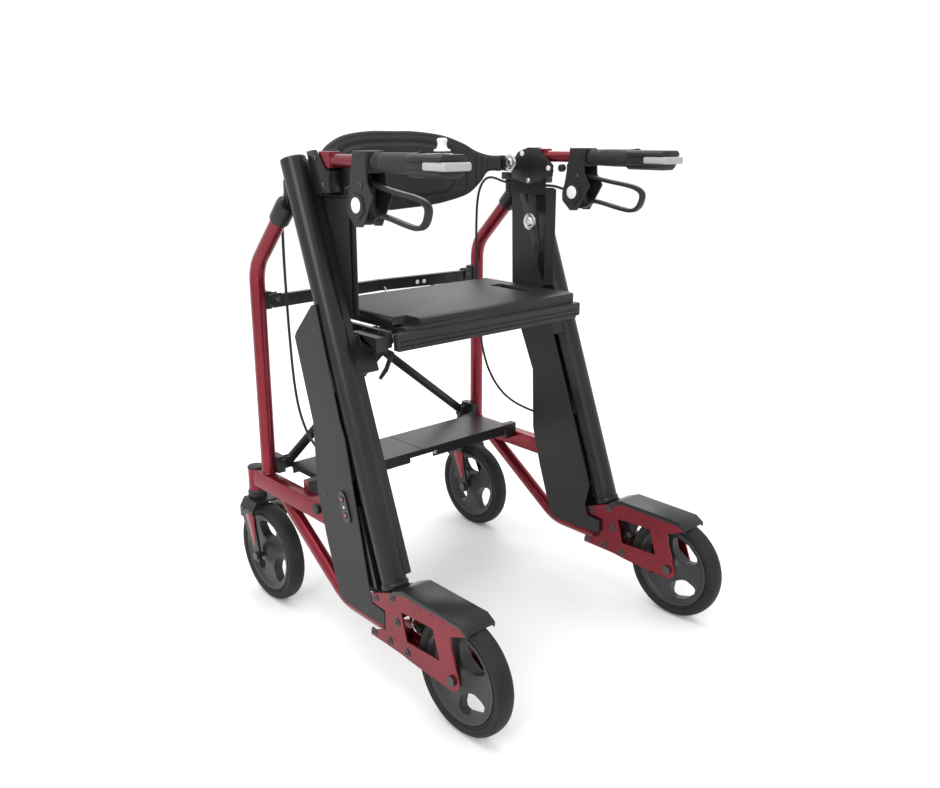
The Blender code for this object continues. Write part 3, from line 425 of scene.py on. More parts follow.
frameLook = {"halfTrack": 0.2711, "plateOut": 0.0265}
halfTrack = frameLook["halfTrack"]
outerFace = halfTrack + frameLook["plateOut"]
innerFace = halfTrack - frameLook["plateOut"]

bracketLook = {
    "bolts": [(-0.0905, 0.1595), (-0.1345, 0.1765), (-0.0835, 0.0945), (-0.1265, 0.0955), (-0.1725, 0.0945),
              (-0.1475, 0.1385)], "boltRadius": 0.0046, "plateEdge": 0.0006, "fenderEdge": 0.0010,
    "rivets": 5, "rivetRadius": 0.0017, "rivetStep": 0.026,
    "brakeArm": [(-0.150, 0.163), (-0.180, 0.167), (-0.194, 0.153), (-0.1835, 0.130), (-0.1820, 0.1150),
                 (-0.160, 0.116), (-0.166, 0.138), (-0.152, 0.150)], "armX": 0.2650, "armHalf": 0.004,
    "springRadius": 0.0014, "spacers": [(-0.0905, 0.1595), (-0.1265, 0.0955), (-0.1345, 0.1765)],
    "spacerRadius": 0.0048, "spacerHalf": 0.0233,
}


def rearBracket(side):
    look = bracketLook
    sign, body = sides[side], f"{side}_frame"
    for layer, outward in (("outer", 1), ("inner", -1)):
        eased(f"rear_plate_{layer}_{side}", redPaint, look["plateEdge"], 2)
        x = sign * (halfTrack + outward * frameLook["plateOut"])
        towards = (sign * outward, 0, 0)
        for number, (y, z) in enumerate(look["bolts"]):
            ring = spun([(0.0042, 0), (0.0072, 0), (0.0072, 0.0009), (0.0042, 0.0009), (0.0042, 0)], 28,
                        towards, (x, y, z))
            place(ring, f"washer_{layer}_{side}_{number}", darkSteel, body, "bright_steel")
            screw(f"bracket_screw_{layer}_{side}_{number}", (x, y, z), towards, look["boltRadius"], body)
        for number in range(look["rivets"]):  # small rivets under the top edge
            y = -0.180 - look["rivetStep"] * number
            screw(f"rivet_{layer}_{side}_{number}", (x, y, 0.1868 + 0.0009 * (2 - number)), towards,
                  look["rivetRadius"], body, redPaint, "red_paint", 0.0009, False)
    eased(f"fender_{side}", blackPaint, look["fenderEdge"], 3)
    # brake arm and its spring clip behind the window
    armX, armHalf = sign * look["armX"], look["armHalf"]
    place(slab(look["brakeArm"], armX - armHalf, armX + armHalf, 0.0014), f"brake_arm_{side}", blackPaint,
          body, "black_metal")
    shoe = spun([(0, -0.012), (0.0058, -0.012), (0.0066, -0.010), (0.0066, 0.010), (0.0058, 0.012),
                 (0, 0.012)], 28, (1, 0, 0), (sign * 0.2680, -0.1780, 0.1310))
    place(shoe, f"brake_shoe_{side}", darkSteel, body, "bright_steel")
    clip = flowing([(sign * 0.2760, -0.1600, 0.1560), (sign * 0.2790, -0.1660, 0.1470),
                    (sign * 0.2800, -0.1640, 0.1360), (sign * 0.2790, -0.1700, 0.1270),
                    (sign * 0.2760, -0.1765, 0.1240)], 5)
    place(tube(clip, look["springRadius"]), f"brake_spring_{side}", brushedSteel, body, "bright_steel")
    thick, half = look["spacerRadius"], look["spacerHalf"]
    for number, (y, z) in enumerate(look["spacers"]):
        bar = spun([(0, -half), (thick, -half), (thick, half), (0, half)], 24, (1, 0, 0),
                   (sign * halfTrack, y, z))
        place(bar, f"spacer_{side}_{number}", brushedSteel, body, "bright_steel")


columnLook = {
    "lean": math.radians(20.5), "length": 0.724, "baseY": -0.1107, "baseZ": 0.1755, "plugDepth": 0.0058,
    "bushAt": 0.006, "columnEdge": 0.0007, "outerEdge": 0.0011, "innerEdge": 0.0005, "coverInside": 0.2381,
    "coverScrews": [(-0.0570, 0.2160), (0.0590, 0.5870), (0.0480, 0.3000), (-0.0660, 0.1260),
                    (0.0850, 0.5700)],
    "innerScrews": [(0.0136, 0.3697), (0.0026, 0.3734), (-0.0029, 0.3250), (-0.0146, 0.3287),
                    (-0.0632, 0.2161)],
}


def onColumn(along):
    lean = columnLook["lean"]
    return columnLook["baseY"] + along * math.sin(lean), columnLook["baseZ"] + along * math.cos(lean)


def columnAndCovers(side):
    sign, body = sides[side], f"{side}_frame"
    lean = columnLook["lean"]
    along = (0, math.sin(lean), math.cos(lean))
    eased(f"column_{side}", blackPaint, columnLook["columnEdge"], 2)
    y, z = onColumn(columnLook["length"])
    lip = [(0.0196, 0), (0.0202, 0.0006), (0.0212, 0.0006), (0.0215, 0), (0.0215, -0.0012), (0.0196, -0.0012),
           (0.0196, 0)]
    place(spun(lip, 48, along, (sign * halfTrack, y, z)), f"column_lip_{side}", darkSteel, body,
          "bright_steel")
    y, z = onColumn(columnLook["length"] - columnLook["plugDepth"])
    plug = [(0, 0), (0.0199, 0), (0.0199, 0.0022), (0.0185, 0.0030), (0.0170, 0.0022), (0.0060, 0.0022),
            (0.0050, 0.0010), (0, 0.0010)]
    place(spun(plug, 48, along, (sign * halfTrack, y, z)), f"column_plug_{side}", mouldedPlastic, body,
          "charcoal_plastic")
    y, z = onColumn(columnLook["bushAt"])
    bush = [(0.0216, -0.0055), (0.0228, -0.0055), (0.0234, -0.0045), (0.0234, 0.0045), (0.0228, 0.0055),
            (0.0216, 0.0055), (0.0216, -0.0055)]
    place(spun(bush, 48, along, (sign * halfTrack, y, z)), f"column_bush_{side}", blackPaint, body,
          "black_metal")
    cover = eased(f"outer_cover_{side}", sheetCharcoal, columnLook["outerEdge"], 3)
    paint(cover, blackPaint, lambda middle: abs(middle.x) < innerFace + 0.010)
    eased(f"inner_cover_{side}", sheetCharcoal, columnLook["innerEdge"], 2)
    for number, (y, z) in enumerate(columnLook["coverScrews"]):
        screw(f"cover_screw_{side}_{number}", (sign * outerFace, y, z), (sign, 0, 0), 0.0030, body, darkSteel,
              height=0.0012)
    channel = [(-0.0880, 0.1700), (-0.0645, 0.1700), (-0.0455, 0.2480), (-0.0370, 0.3020), (-0.0400, 0.3040),
               (-0.0640, 0.2390)]
    place(slab(channel, sign * 0.2800, sign * 0.2925, 0.0010), f"column_channel_{side}", glossBlack, body,
          "black_metal")
    inside = columnLook["coverInside"]
    for number, (y, z) in enumerate(columnLook["innerScrews"]):
        if sign > 0 or number > 3:  # the left cover has only the last
            screw(f"inner_screw_{side}_{number}", (sign * (inside + 0.0003), y, z), (-sign, 0, 0), 0.0022,
                  body, darkSteel, height=0.0009)
    shade = [(0.0490, 0.6120), (0.0580, 0.6120), (0.1290, 0.7900), (0.0490, 0.7900)]
    place(slab(shade, sign * (inside + 0.0004), sign * (inside - 0.0006), 0.0002), f"cover_shade_{side}",
          glossBlack, body, "black_metal")
    wedge = [(0.0800, 0.7895), (0.1020, 0.7895), (0.0900, 0.7350), (0.0610, 0.6600)]
    place(slab(wedge, sign * (inside - 0.0004), sign * (inside - 0.0022), 0.0005), f"cover_wedge_{side}",
          sheetCharcoal, body, "charcoal_sheet")


tubeLook = {"tubeEdge": 0.0009, "memberEdge": 0.0008, "barEdge": 0.0012, "upperClamp": 0.600,
            "lowerClamp": 0.284, "clampHalf": 0.0165, "clampScrew": 0.0030, "knobAt": (0.0930, 0.2560),
            "stemAt": (0.2736, 0.334, 0.262)}


def redFrame(side):
    look = tubeLook
    sign, body = sides[side], f"{side}_frame"
    tubePiece = eased(f"front_tube_{side}", redPaint, look["tubeEdge"], 2)
    clamps = (look["upperClamp"], look["lowerClamp"])

    def onClamp(middle):
        return abs(middle.x) < 0.2665 and min(abs(middle.z - at) for at in clamps) < look["clampHalf"]

    paint(tubePiece, blackPaint, onClamp)
    eased(f"lower_tube_{side}", redPaint, 0.0005, 2)
    member = eased(f"cross_member_{side}", redPaint, look["memberEdge"], 2)
    paint(member, blackPaint, lambda middle: abs(middle.x) < 0.2612)
    lowerY = 0.2600 + (0.015 if sign > 0 else 0)  # the right lower clamp sits further forward
    for middleZ, name, y in ((look["upperClamp"], "upper", 0.2745), (look["lowerClamp"], "lower", lowerY)):
        for end in (-1, 1):
            screw(f"clamp_screw_{name}_{side}_{end + 1}", (sign * 0.2535, y, middleZ + end * 0.0095),
                  (0, -1, 0), look["clampScrew"], body, darkSteel, height=0.0020)
    stem = (sign * look["stemAt"][0], *look["stemAt"][1:])
    cap = [(0, 0), (0.0168, 0), (0.0168, 0.0020), (0.0158, 0.0042), (0.0120, 0.0056), (0.0060, 0.0062),
           (0, 0.0062)]
    place(spun(cap, 40, (0, 0, 1), stem), f"stem_cap_{side}", mouldedPlastic, body, "charcoal_plastic")
    ring = [(0.0161, 0), (0.0172, 0), (0.0172, 0.0030), (0.0161, 0.0030), (0.0161, 0)]
    place(spun(ring, 40, (0, 0, 1), (stem[0], stem[1], 0.2148)), f"stem_ring_{side}", darkSteel, body,
          "bright_steel")
    knob = [(0, 0), (0.0085, 0), (0.0100, 0.0012), (0.0100, 0.0060), (0.0088, 0.0076), (0.0040, 0.0082),
            (0, 0.0082)]
    place(spun(knob, 36, (sign, 0, 0), (sign * 0.2857, *look["knobAt"])), f"member_knob_{side}",
          mouldedPlastic, body, "charcoal_plastic")
    weld = [(0.0139, -0.0015), (0.0150, -0.0015), (0.0158, 0.0), (0.0150, 0.0016), (0.0139, 0.0016),
            (0.0139, -0.0015)]
    place(spun(weld, 40, (0, 0, 1), (sign * halfTrack, 0.287, 0.2660)), f"tube_weld_{side}", redPaint, body,
          "red_paint")
    eased(f"handle_bar_{side}", redPaint, look["barEdge"], 3)


topLook = {
    "bolts": [(0.1125, 0.8570), (0.0405, 0.8310), (0.0935, 0.8060)], "boltRadius": 0.0050,
    "boltHeight": 0.0032, "nuts": [(0.0930, 0.8560), (0.0720, 0.8150)], "nutRadius": 0.0044,
    "nutFace": 0.2610, "strapBolt": (0.2312, 0.1455, 0.8390), "coverBolt": (0.2372, 0.0930, 0.7255),
    "plateEdge": 0.0008,
}


def topBracket(side):
    look = topLook
    sign, body = sides[side], f"{side}_frame"
    inner = [(0.1440, 0.8370), (0.1250, 0.8600), (0.0980, 0.8690), (0.0720, 0.8690), (0.0300, 0.8370),
             (0.0310, 0.8160), (0.0950, 0.7975), (0.1420, 0.8100)]
    outer = [(0.1180, 0.8660), (0.0980, 0.8690), (0.0900, 0.8690), (0.0540, 0.8260), (0.0590, 0.8100),
             (0.0780, 0.8005), (0.0920, 0.8005)]
    bracket = place(slab(inner, sign * 0.2310, sign * 0.2340, look["plateEdge"]), f"bracket_inner_{side}",
                    blackPaint, body, "black_metal")
    place(slab(outer, sign * 0.2580, sign * 0.2610, look["plateEdge"]), f"bracket_outer_{side}", blackPaint,
          body, "black_metal")
    for name, near, far, low, high in (("body", 0.2320, 0.2600, (0.056, 0.8025), (0.092, 0.8375)),
                                       ("link", 0.2320, 0.2450, (0.128, 0.8060), (0.172, 0.8200)),
                                       ("bridge", 0.2436, 0.2751, (0.160, 0.7780), (0.172, 0.8200))):
        ends = sorted((sign * near, sign * far))
        place(block((ends[0], *low), (ends[1], *high), 0.0014, 3), f"bracket_{name}_{side}", blackPaint, body,
              "black_metal")
    sleeve = [(0.0146, -0.0200), (0.0160, -0.0220), (0.0176, -0.0205), (0.0180, -0.0150), (0.0180, 0.0150),
              (0.0170, 0.0200), (0.0140, 0.0220), (0, 0.0222), (0, 0.0180), (0.0146, 0.0132),
              (0.0146, -0.0200)]
    place(spun(sleeve, 40, (0, -1, 1), (sign * halfTrack, 0.182, 0.767)), f"bracket_socket_{side}",
          blackPaint, body, "black_metal")
    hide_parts(f"top_bracket_{side}")
    x = sign * 0.2310
    for number, (y, z) in enumerate(look["bolts"]):
        screw(f"bracket_bolt_{side}_{number}", (x, y, z), (-sign, 0, 0), look["boltRadius"], body,
              whitePlastic if number < 2 else brushedSteel, "bright_steel", look["boltHeight"])
    knob = [(0, 0), (0.0062, 0), (0.0070, 0.0010), (0.0070, 0.0085), (0.0060, 0.0098), (0, 0.0100)]
    place(spun(knob, 28, (-sign, 0, 0), (sign * 0.2380, 0.0080, 0.8322)), f"handle_pin_{side}",
          mouldedPlastic, body, "charcoal_plastic")
    for number, (y, z) in enumerate(look["nuts"]):
        screw(f"bracket_nut_{side}_{number}", (sign * look["nutFace"], y, z), (sign, 0, 0), look["nutRadius"],
              body, darkSteel)
    # the big round bolts that hold the backrest's strap and the inner cover
    big = [(0, -0.0010), (0.0150, -0.0010), (0.0165, 0.0004), (0.0165, 0.0022), (0.0148, 0.0034),
           (0.0096, 0.0040), (0.0084, 0.0058), (0.0070, 0.0072), (0.0046, 0.0076), (0.0040, 0.0058),
           (0, 0.0056)]
    for name, (x, y, z) in (("strap", look["strapBolt"]), ("cover", look["coverBolt"])):
        place(spun(big, 48, (-sign, 0, 0), (sign * x, y, z)), f"{name}_bolt_{side}", brushedSteel, body,
              "bright_steel")
    ends = sorted((sign * 0.2285, sign * 0.2322))
    strapEnd = [(0.1370, 0.8520), (0.1370, 0.8270), (0.1440, 0.8220), (0.1780, 0.8235), (0.1800, 0.8300),
                (0.1800, 0.8480), (0.1740, 0.8530)]
    place(slab(strapEnd, ends[0], ends[1], 0.0016), f"strap_end_{side}", foamSkin, body, "backrest_foam")
    ends = sorted((sign * 0.2338, sign * 0.2352))
    place(block((ends[0], 0.0500, 0.7800), (ends[1], 0.1480, 0.8120), 0.0003, 1), f"bracket_web_{side}",
          blackPaint, body, "black_metal")


for side in sides:
    rearBracket(side)
    columnAndCovers(side)
    redFrame(side)
    topBracket(side)
eased("battery_pack", mouldedPlastic, 0.0008)
eased("lift_motor", darkSteel, 0.0008)
print("frame dressed")


# casters, their forks with a red stripe on each leg
forkLook = {"legFace": 0.0360, "edge": 0.0008, "screwAt": (0.3345, 0.1850), "screwRadius": 0.0036,
            "stripe": [(0.2930, 0.1790), (0.3120, 0.1820), (0.3260, 0.1740), (0.2990, 0.1180),
                       (0.2920, 0.1180)]}


def casterFork(side):
    look = forkLook
    sign, body = sides[side], f"caster_{side}"
    eased(f"caster_fork_{side}", blackPaint, look["edge"], 2)
    for end in (-1, 1):
        face = sign * halfTrack + end * look["legFace"]
        place(slab(look["stripe"], face - end * 0.0002, face + end * 0.0006, 0.0002),
              f"fork_stripe_{side}_{end + 1}", redPaint, body, "red_paint")
        at = (face + end * 0.0003, *look["screwAt"])
        screw(f"fork_screw_{side}_{end + 1}", at, (end, 0, 0), look["screwRadius"], body, darkSteel,
              height=0.0020)


# handles
handleLook = {"x": 0.246, "z": 0.853, "gripRadius": 0.0145, "gripNear": -0.0535, "headNear": -0.150,
              "headFar": -0.2335, "headHalf": 0.0252}


def handle(side):
    sign, body = sides[side], f"{side}_frame"
    x, z = sign * handleLook["x"], handleLook["z"]
    r, near, far = handleLook["gripRadius"], handleLook["gripNear"], handleLook["headNear"]
    length = near - far + 0.010
    profile = [(0.0100, 0), (r - 0.0012, 0), (r, 0.0012)]
    for ring in range(4):  # shallow rings at the collar end
        at = 0.006 + 0.0042 * ring
        profile += [(r, at), (r - 0.0007, at + 0.0006), (r - 0.0007, at + 0.0014), (r, at + 0.0020)]
    profile += [(r + 0.0003, 0.030), (r + 0.0008, 0.055), (r + 0.0008, 0.080), (r + 0.0016, length - 0.012),
                (r + 0.0026, length - 0.004), (r + 0.0026, length), (0.0100, length), (0.0100, 0)]
    grip = place(spun(profile, 48, (0, -1, 0), (x, near, z)), f"grip_tube_{side}", gripRubber, body,
                 "charcoal_plastic", 50)
    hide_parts(f"grip_{side}")
    halfWide, farY = handleLook["headHalf"], handleLook["headFar"]
    top = [(-halfWide, 0.8575), (halfWide, 0.8575), (halfWide, 0.8632), (halfWide - 0.006, 0.8675),
           (-halfWide + 0.006, 0.8675), (-halfWide, 0.8632)]
    shell = slab([(x + a, b) for a, b in top], farY + 0.003, far, 0.0016, "y")
    place(shell, f"grip_top_{side}", mouldedPlastic, body, "charcoal_plastic")
    core = block((x - 0.0225, farY + 0.004, 0.8430), (x + 0.0225, far - 0.003, 0.8590), 0.003, 3)
    place(core, f"grip_core_{side}", mouldedPlastic, body, "charcoal_plastic")
    band = block((x - 0.0258, -0.2390, 0.8452), (x + 0.0258, -0.1905, 0.8572), 0.0034, 3)
    place(band, f"grip_band_{side}", greyPlastic, body, "white_plastic")
    belly = [(-0.0238, 0.8455), (-0.0238, 0.8400), (-0.0150, 0.8345), (0.0150, 0.8345), (0.0238, 0.8400),
             (0.0238, 0.8455)]
    under = slab([(x + a, b) for a, b in belly], -0.2260, far, 0.0030, "y")
    place(under, f"grip_under_{side}", mouldedPlastic, body, "charcoal_plastic")
    seam = block((x - 0.0256, -0.1890, 0.8566), (x + 0.0256, far - 0.0020, 0.8576), 0.0003, 1)
    place(seam, f"grip_seam_{side}", glossBlack, body, "charcoal_plastic")


leverLook = {"half": 0.0034, "wide": 0.0135, "edge": 0.0024, "bossRadius": 0.0215, "bossAt": (-0.026, 0.7870),
             "pivotAt": (-0.0370, 0.8190), "pivotRadius": 0.0046, "housingFace": 0.0195}


def brake(side):
    sign, body = sides[side], f"{side}_frame"
    look = leverLook
    x = sign * handleLook["x"]
    eased(f"brake_housing_{side}", mouldedPlastic, 0.0012, 3)
    loop = flowing([(-0.0300, 0.8235), (-0.0640, 0.8165), (-0.1000, 0.8110), (-0.1400, 0.8060),
                    (-0.1620, 0.8010), (-0.1735, 0.7930), (-0.1735, 0.7810), (-0.1665, 0.7685),
                    (-0.1520, 0.7620), (-0.1250, 0.7645), (-0.0860, 0.7715), (-0.0620, 0.7735),
                    (-0.0470, 0.7655), (-0.0300, 0.7615)], 6)
    outline, back = [], []
    for before, at, after in zip([loop[0]] + loop, loop, loop[1:] + [loop[-1]]):
        along = (after - before).normalized()
        beside = Vector((-along.y, along.x)) * look["half"]
        outline.append(tuple(at + beside))
        back.append(tuple(at - beside))
    lever = place(slab(outline + back[::-1], x - look["wide"] / 2, x + look["wide"] / 2, look["edge"]),
                  f"brake_lever_loop_{side}", mouldedPlastic, f"brake_lever_{side}", "charcoal_plastic", 50)
    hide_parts(f"brake_lever_{side}")
    root = [(-0.0300, 0.8275), (-0.0420, 0.8245), (-0.0400, 0.7900), (-0.0440, 0.7610), (-0.0240, 0.7580),
            (-0.0200, 0.7700)]
    place(slab(root, x - 0.0068, x + 0.0068, 0.0016), f"brake_lever_root_{side}", mouldedPlastic,
          f"brake_lever_{side}", "charcoal_plastic")
    for end in (-1, 1):
        face = x + end * look["housingFace"]
        (bossY, bossZ), wide = look["bossAt"], look["bossRadius"]
        hexagon = [(bossY + wide * math.cos(math.radians(a)), bossZ + wide * math.sin(math.radians(a)))
                   for a in range(15, 375, 60)]
        place(slab(hexagon, face - end * 0.0006, face + end * 0.0022, 0.0010),
              f"housing_boss_{side}_{end + 1}", mouldedPlastic, body, "charcoal_plastic")
        screw(f"lever_pivot_{side}_{end + 1}", (face, *look["pivotAt"]), (end, 0, 0), look["pivotRadius"],
              body, darkSteel)
        if end < 0:
            disc = [(0, 0), (0.0118, 0), (0.0118, 0.0008), (0.0112, 0.0012), (0, 0.0014)]
            place(spun(disc, 40, (end, 0, 0), (face + end * 0.0020, -0.0260, 0.7890)), f"housing_disc_{side}",
                  whitePlastic, body, "white_plastic")
        else:
            screw(f"housing_screw_{side}", (face + end * 0.0006, -0.0260, 0.7890), (end, 0, 0), 0.0060, body,
                  darkSteel, height=0.0008)
    adjuster = [(0, 0), (0.0042, 0), (0.0046, 0.0008), (0.0046, 0.0050), (0.0034, 0.0060), (0.0034, 0.0110),
                (0, 0.0110)]
    place(spun(adjuster, 24, (0, 1, 0.05), (sign * 0.2416, -0.0060, 0.7920)), f"cable_adjuster_{side}",
          darkSteel, body, "bright_steel")


# brake cables, on the same line as the part's own: (x, y, z) for the right side
cableLook = {"diameter": 0.005, "stepsBetween": 4}
cableRoute = [
    (0.2415, -0.0040, 0.7920), (0.2410, 0.0060, 0.7928), (0.2400, 0.0180, 0.7950), (0.2395, 0.0320, 0.7974),
    (0.2395, 0.0500, 0.7978), (0.2395, 0.0750, 0.7978), (0.2395, 0.1000, 0.7980), (0.2395, 0.1250, 0.7985),
    (0.2392, 0.1450, 0.7990), (0.2385, 0.1620, 0.8000), (0.2375, 0.1780, 0.8025), (0.2365, 0.1930, 0.8065),
    (0.2358, 0.2080, 0.8080), (0.2352, 0.2220, 0.8040), (0.2350, 0.2340, 0.7930), (0.2350, 0.2425, 0.7760),
    (0.2350, 0.2475, 0.7520), (0.2350, 0.2495, 0.7200), (0.2350, 0.2500, 0.6800), (0.2352, 0.2490, 0.6400),
    (0.2353, 0.2475, 0.6000), (0.2355, 0.2455, 0.5600), (0.2358, 0.2425, 0.5200), (0.2365, 0.2380, 0.4800),
    (0.2380, 0.2300, 0.4400), (0.2400, 0.2160, 0.4020), (0.2420, 0.1950, 0.3720), (0.2435, 0.1690, 0.3510),
    (0.2445, 0.1400, 0.3390), (0.2450, 0.1120, 0.3335), (0.2450, 0.0900, 0.3312), (0.2450, 0.0760, 0.3306),
]


def brakeCable(side):
    sign = sides[side]
    line = flowing([(sign * x, y, z) for x, y, z in cableRoute], cableLook["stepsBetween"])
    curve = roundCurve(f"brake_cable_sleeve_{side}", line, cableLook["diameter"] / 2)
    curve.splines[0].use_smooth = True
    cable = bpy.data.objects.new(curve.name, curve)
    bpy.context.scene.collection.objects.link(cable)
    curve.materials.append(cableSleeve)
    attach(cable, f"{side}_frame")
    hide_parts(f"brake_cable_{side}")


for side in sides:
    casterFork(side)
    handle(side)
    brake(side)
    brakeCable(side)
print("casters, handles, brakes and cables made")


# folding cross frame
crossLook = {"strutEdge": 0.0012, "barEdge": 0.0004, "plateEdge": 0.0010, "screwsX": (0.0970, 0.1150),
             "screwRadius": 0.0044, "pinAt": (0.236, 0.2778, 0.600), "hookRadius": 0.0016,
             "plateBolt": (0.0340, 0.1522, 0.2700)}


def crossFrame(side):
    look = crossLook
    sign = sides[side]
    eased(f"strut_{side}", blackPaint, look["strutEdge"], 2)
    eased(f"x_bar_{side}", blackPaint, look["barEdge"], 1)
    for name in ("footplate", "carriage"):
        eased(f"{name}_{side}", blackPaint, look["plateEdge"], 2)
    for number, x in enumerate(look["screwsX"]):
        screw(f"strut_screw_{side}_{number}", (sign * x, 0.2810, 0.5965 - 0.0002 * number), (0, -1, 0),
              look["screwRadius"], f"strut_half_{side}", whitePlastic, "bright_steel", 0.0022)
    pin = [(0, 0), (0.0050, 0), (0.0050, 0.0016), (0.0040, 0.0024), (0, 0.0026)]
    x, y, z = look["pinAt"]
    place(spun(pin, 24, (0, -1, 0), (sign * x, y, z)), f"strut_pin_{side}", darkSteel, f"{side}_frame",
          "bright_steel")


for side in sides:
    crossFrame(side)
hook = flowing([(0.010, 0.2790, 0.5960), (0.012, 0.2770, 0.5900), (0.006, 0.2765, 0.5845),
                (0.001, 0.2775, 0.5860)], 5)
place(tube(hook, crossLook["hookRadius"]), "strut_hook", brushedSteel, "strut_half_right", "bright_steel")
link = [(0.0120, 0.4660), (0.0200, 0.4600), (0.0020, 0.4240), (-0.0160, 0.4080), (-0.0210, 0.4120),
        (-0.0040, 0.4330)]
place(slab(link, 0.2620, 0.2672, 0.0010, "y"), "bar_latch", blackPaint, "cross_bar_left", "black_metal")
plateBolt = [(0, 0), (0.0042, 0), (0.0042, 0.0022), (0.0030, 0.0032), (0, 0.0034)]
place(spun(plateBolt, 24, (0, -1, 0), crossLook["plateBolt"]), "plate_bolt_right", brushedSteel,
      "plate_half_right", "bright_steel")
print("cross frame made")


# seat: the board with its slot and notch, ridges on its apron, the arm that carries it and the hinge bolts
seatLook = {"left": -0.182, "right": 0.232, "near": -0.035, "edge": 0.0024, "ridges": (0.5660, 0.5580),
            "ridgeHalf": 0.0016, "arm": (-0.2138, -0.2040), "armFar": 0.1500, "hingeX": -0.195,
            "hingeZ": 0.573}


def seat():
    board = place(merged("seat"), "seat_board", seatPlastic, "seat", "seat_plastic")
    recess = cutter(block((0.1660, 0.0380, 0.5955), (0.1990, 0.1360, 0.6100), 0.0060, 3))
    notch = cutter(block((-0.2100, -0.0700, 0.5865), (-0.1520, 0.0020, 0.6200), 0.0012, 1))
    corner = cutter(block((0.2280, -0.0700, 0.5440), (0.2600, -0.0200, 0.5580), 0, 1))
    carve(board, recess, notch, corner)
    addEdge(board, seatLook["edge"], 3)
    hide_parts("seat")
    left, right, near = (seatLook[key] for key in ("left", "right", "near"))
    half = seatLook["ridgeHalf"]
    for number, z in enumerate(seatLook["ridges"]):
        ridge = block((left - 0.018, near - 0.0118, z - half), (right + 0.003, near - 0.0092, z + half),
                      0.0009, 2)
        place(ridge, f"apron_ridge_{number}", seatPlastic, "seat", "seat_plastic")
    (armLeft, armRight), armFar = seatLook["arm"], seatLook["armFar"]
    place(block((armLeft, -0.0270, 0.5560), (armRight, armFar, 0.5835), 0.0018, 2), "seat_arm_left",
          blackPaint, "lift_slide_left", "black_metal")
    place(block((armLeft, 0.0400, 0.5600), (-0.1835, armFar, 0.5755), 0.0012, 2), "seat_rest_left",
          blackPaint, "lift_slide_left", "black_metal")
    for number, (y, facing) in enumerate(((-0.0115, -1), (0.0395, 1))):
        at = (seatLook["hingeX"], y, seatLook["hingeZ"])
        screw(f"seat_hinge_bolt_{number}", at, (0, facing, 0), 0.0042, "lift_slide_left", brushedSteel,
              "bright_steel")
    for number, (x, y) in enumerate([(-0.170, -0.020), (0.205, -0.020)]):
        screw(f"seat_stud_{number}", (x, near - 0.0100, 0.5620), (0, -1, 0), 0.0026, "seat", darkSteel,
              height=0.0012)


seat()
print("seat made")


# backrest: a moulded foam band with a raised pad, a stepped border and ribs that run into the end straps
backrestLook = {"end": 0.2255, "middleY": 0.235, "bow": 0.861, "hook": 9.0, "thick": 0.0095, "padHalf": 0.140,
                "padRise": 0.0058, "borderRise": 0.0030, "wideRibs": (0.1800, 0.1900, 0.2000),
                "fineRibs": (0.2085, 0.2135, 0.2185), "across": 220, "up": 72}


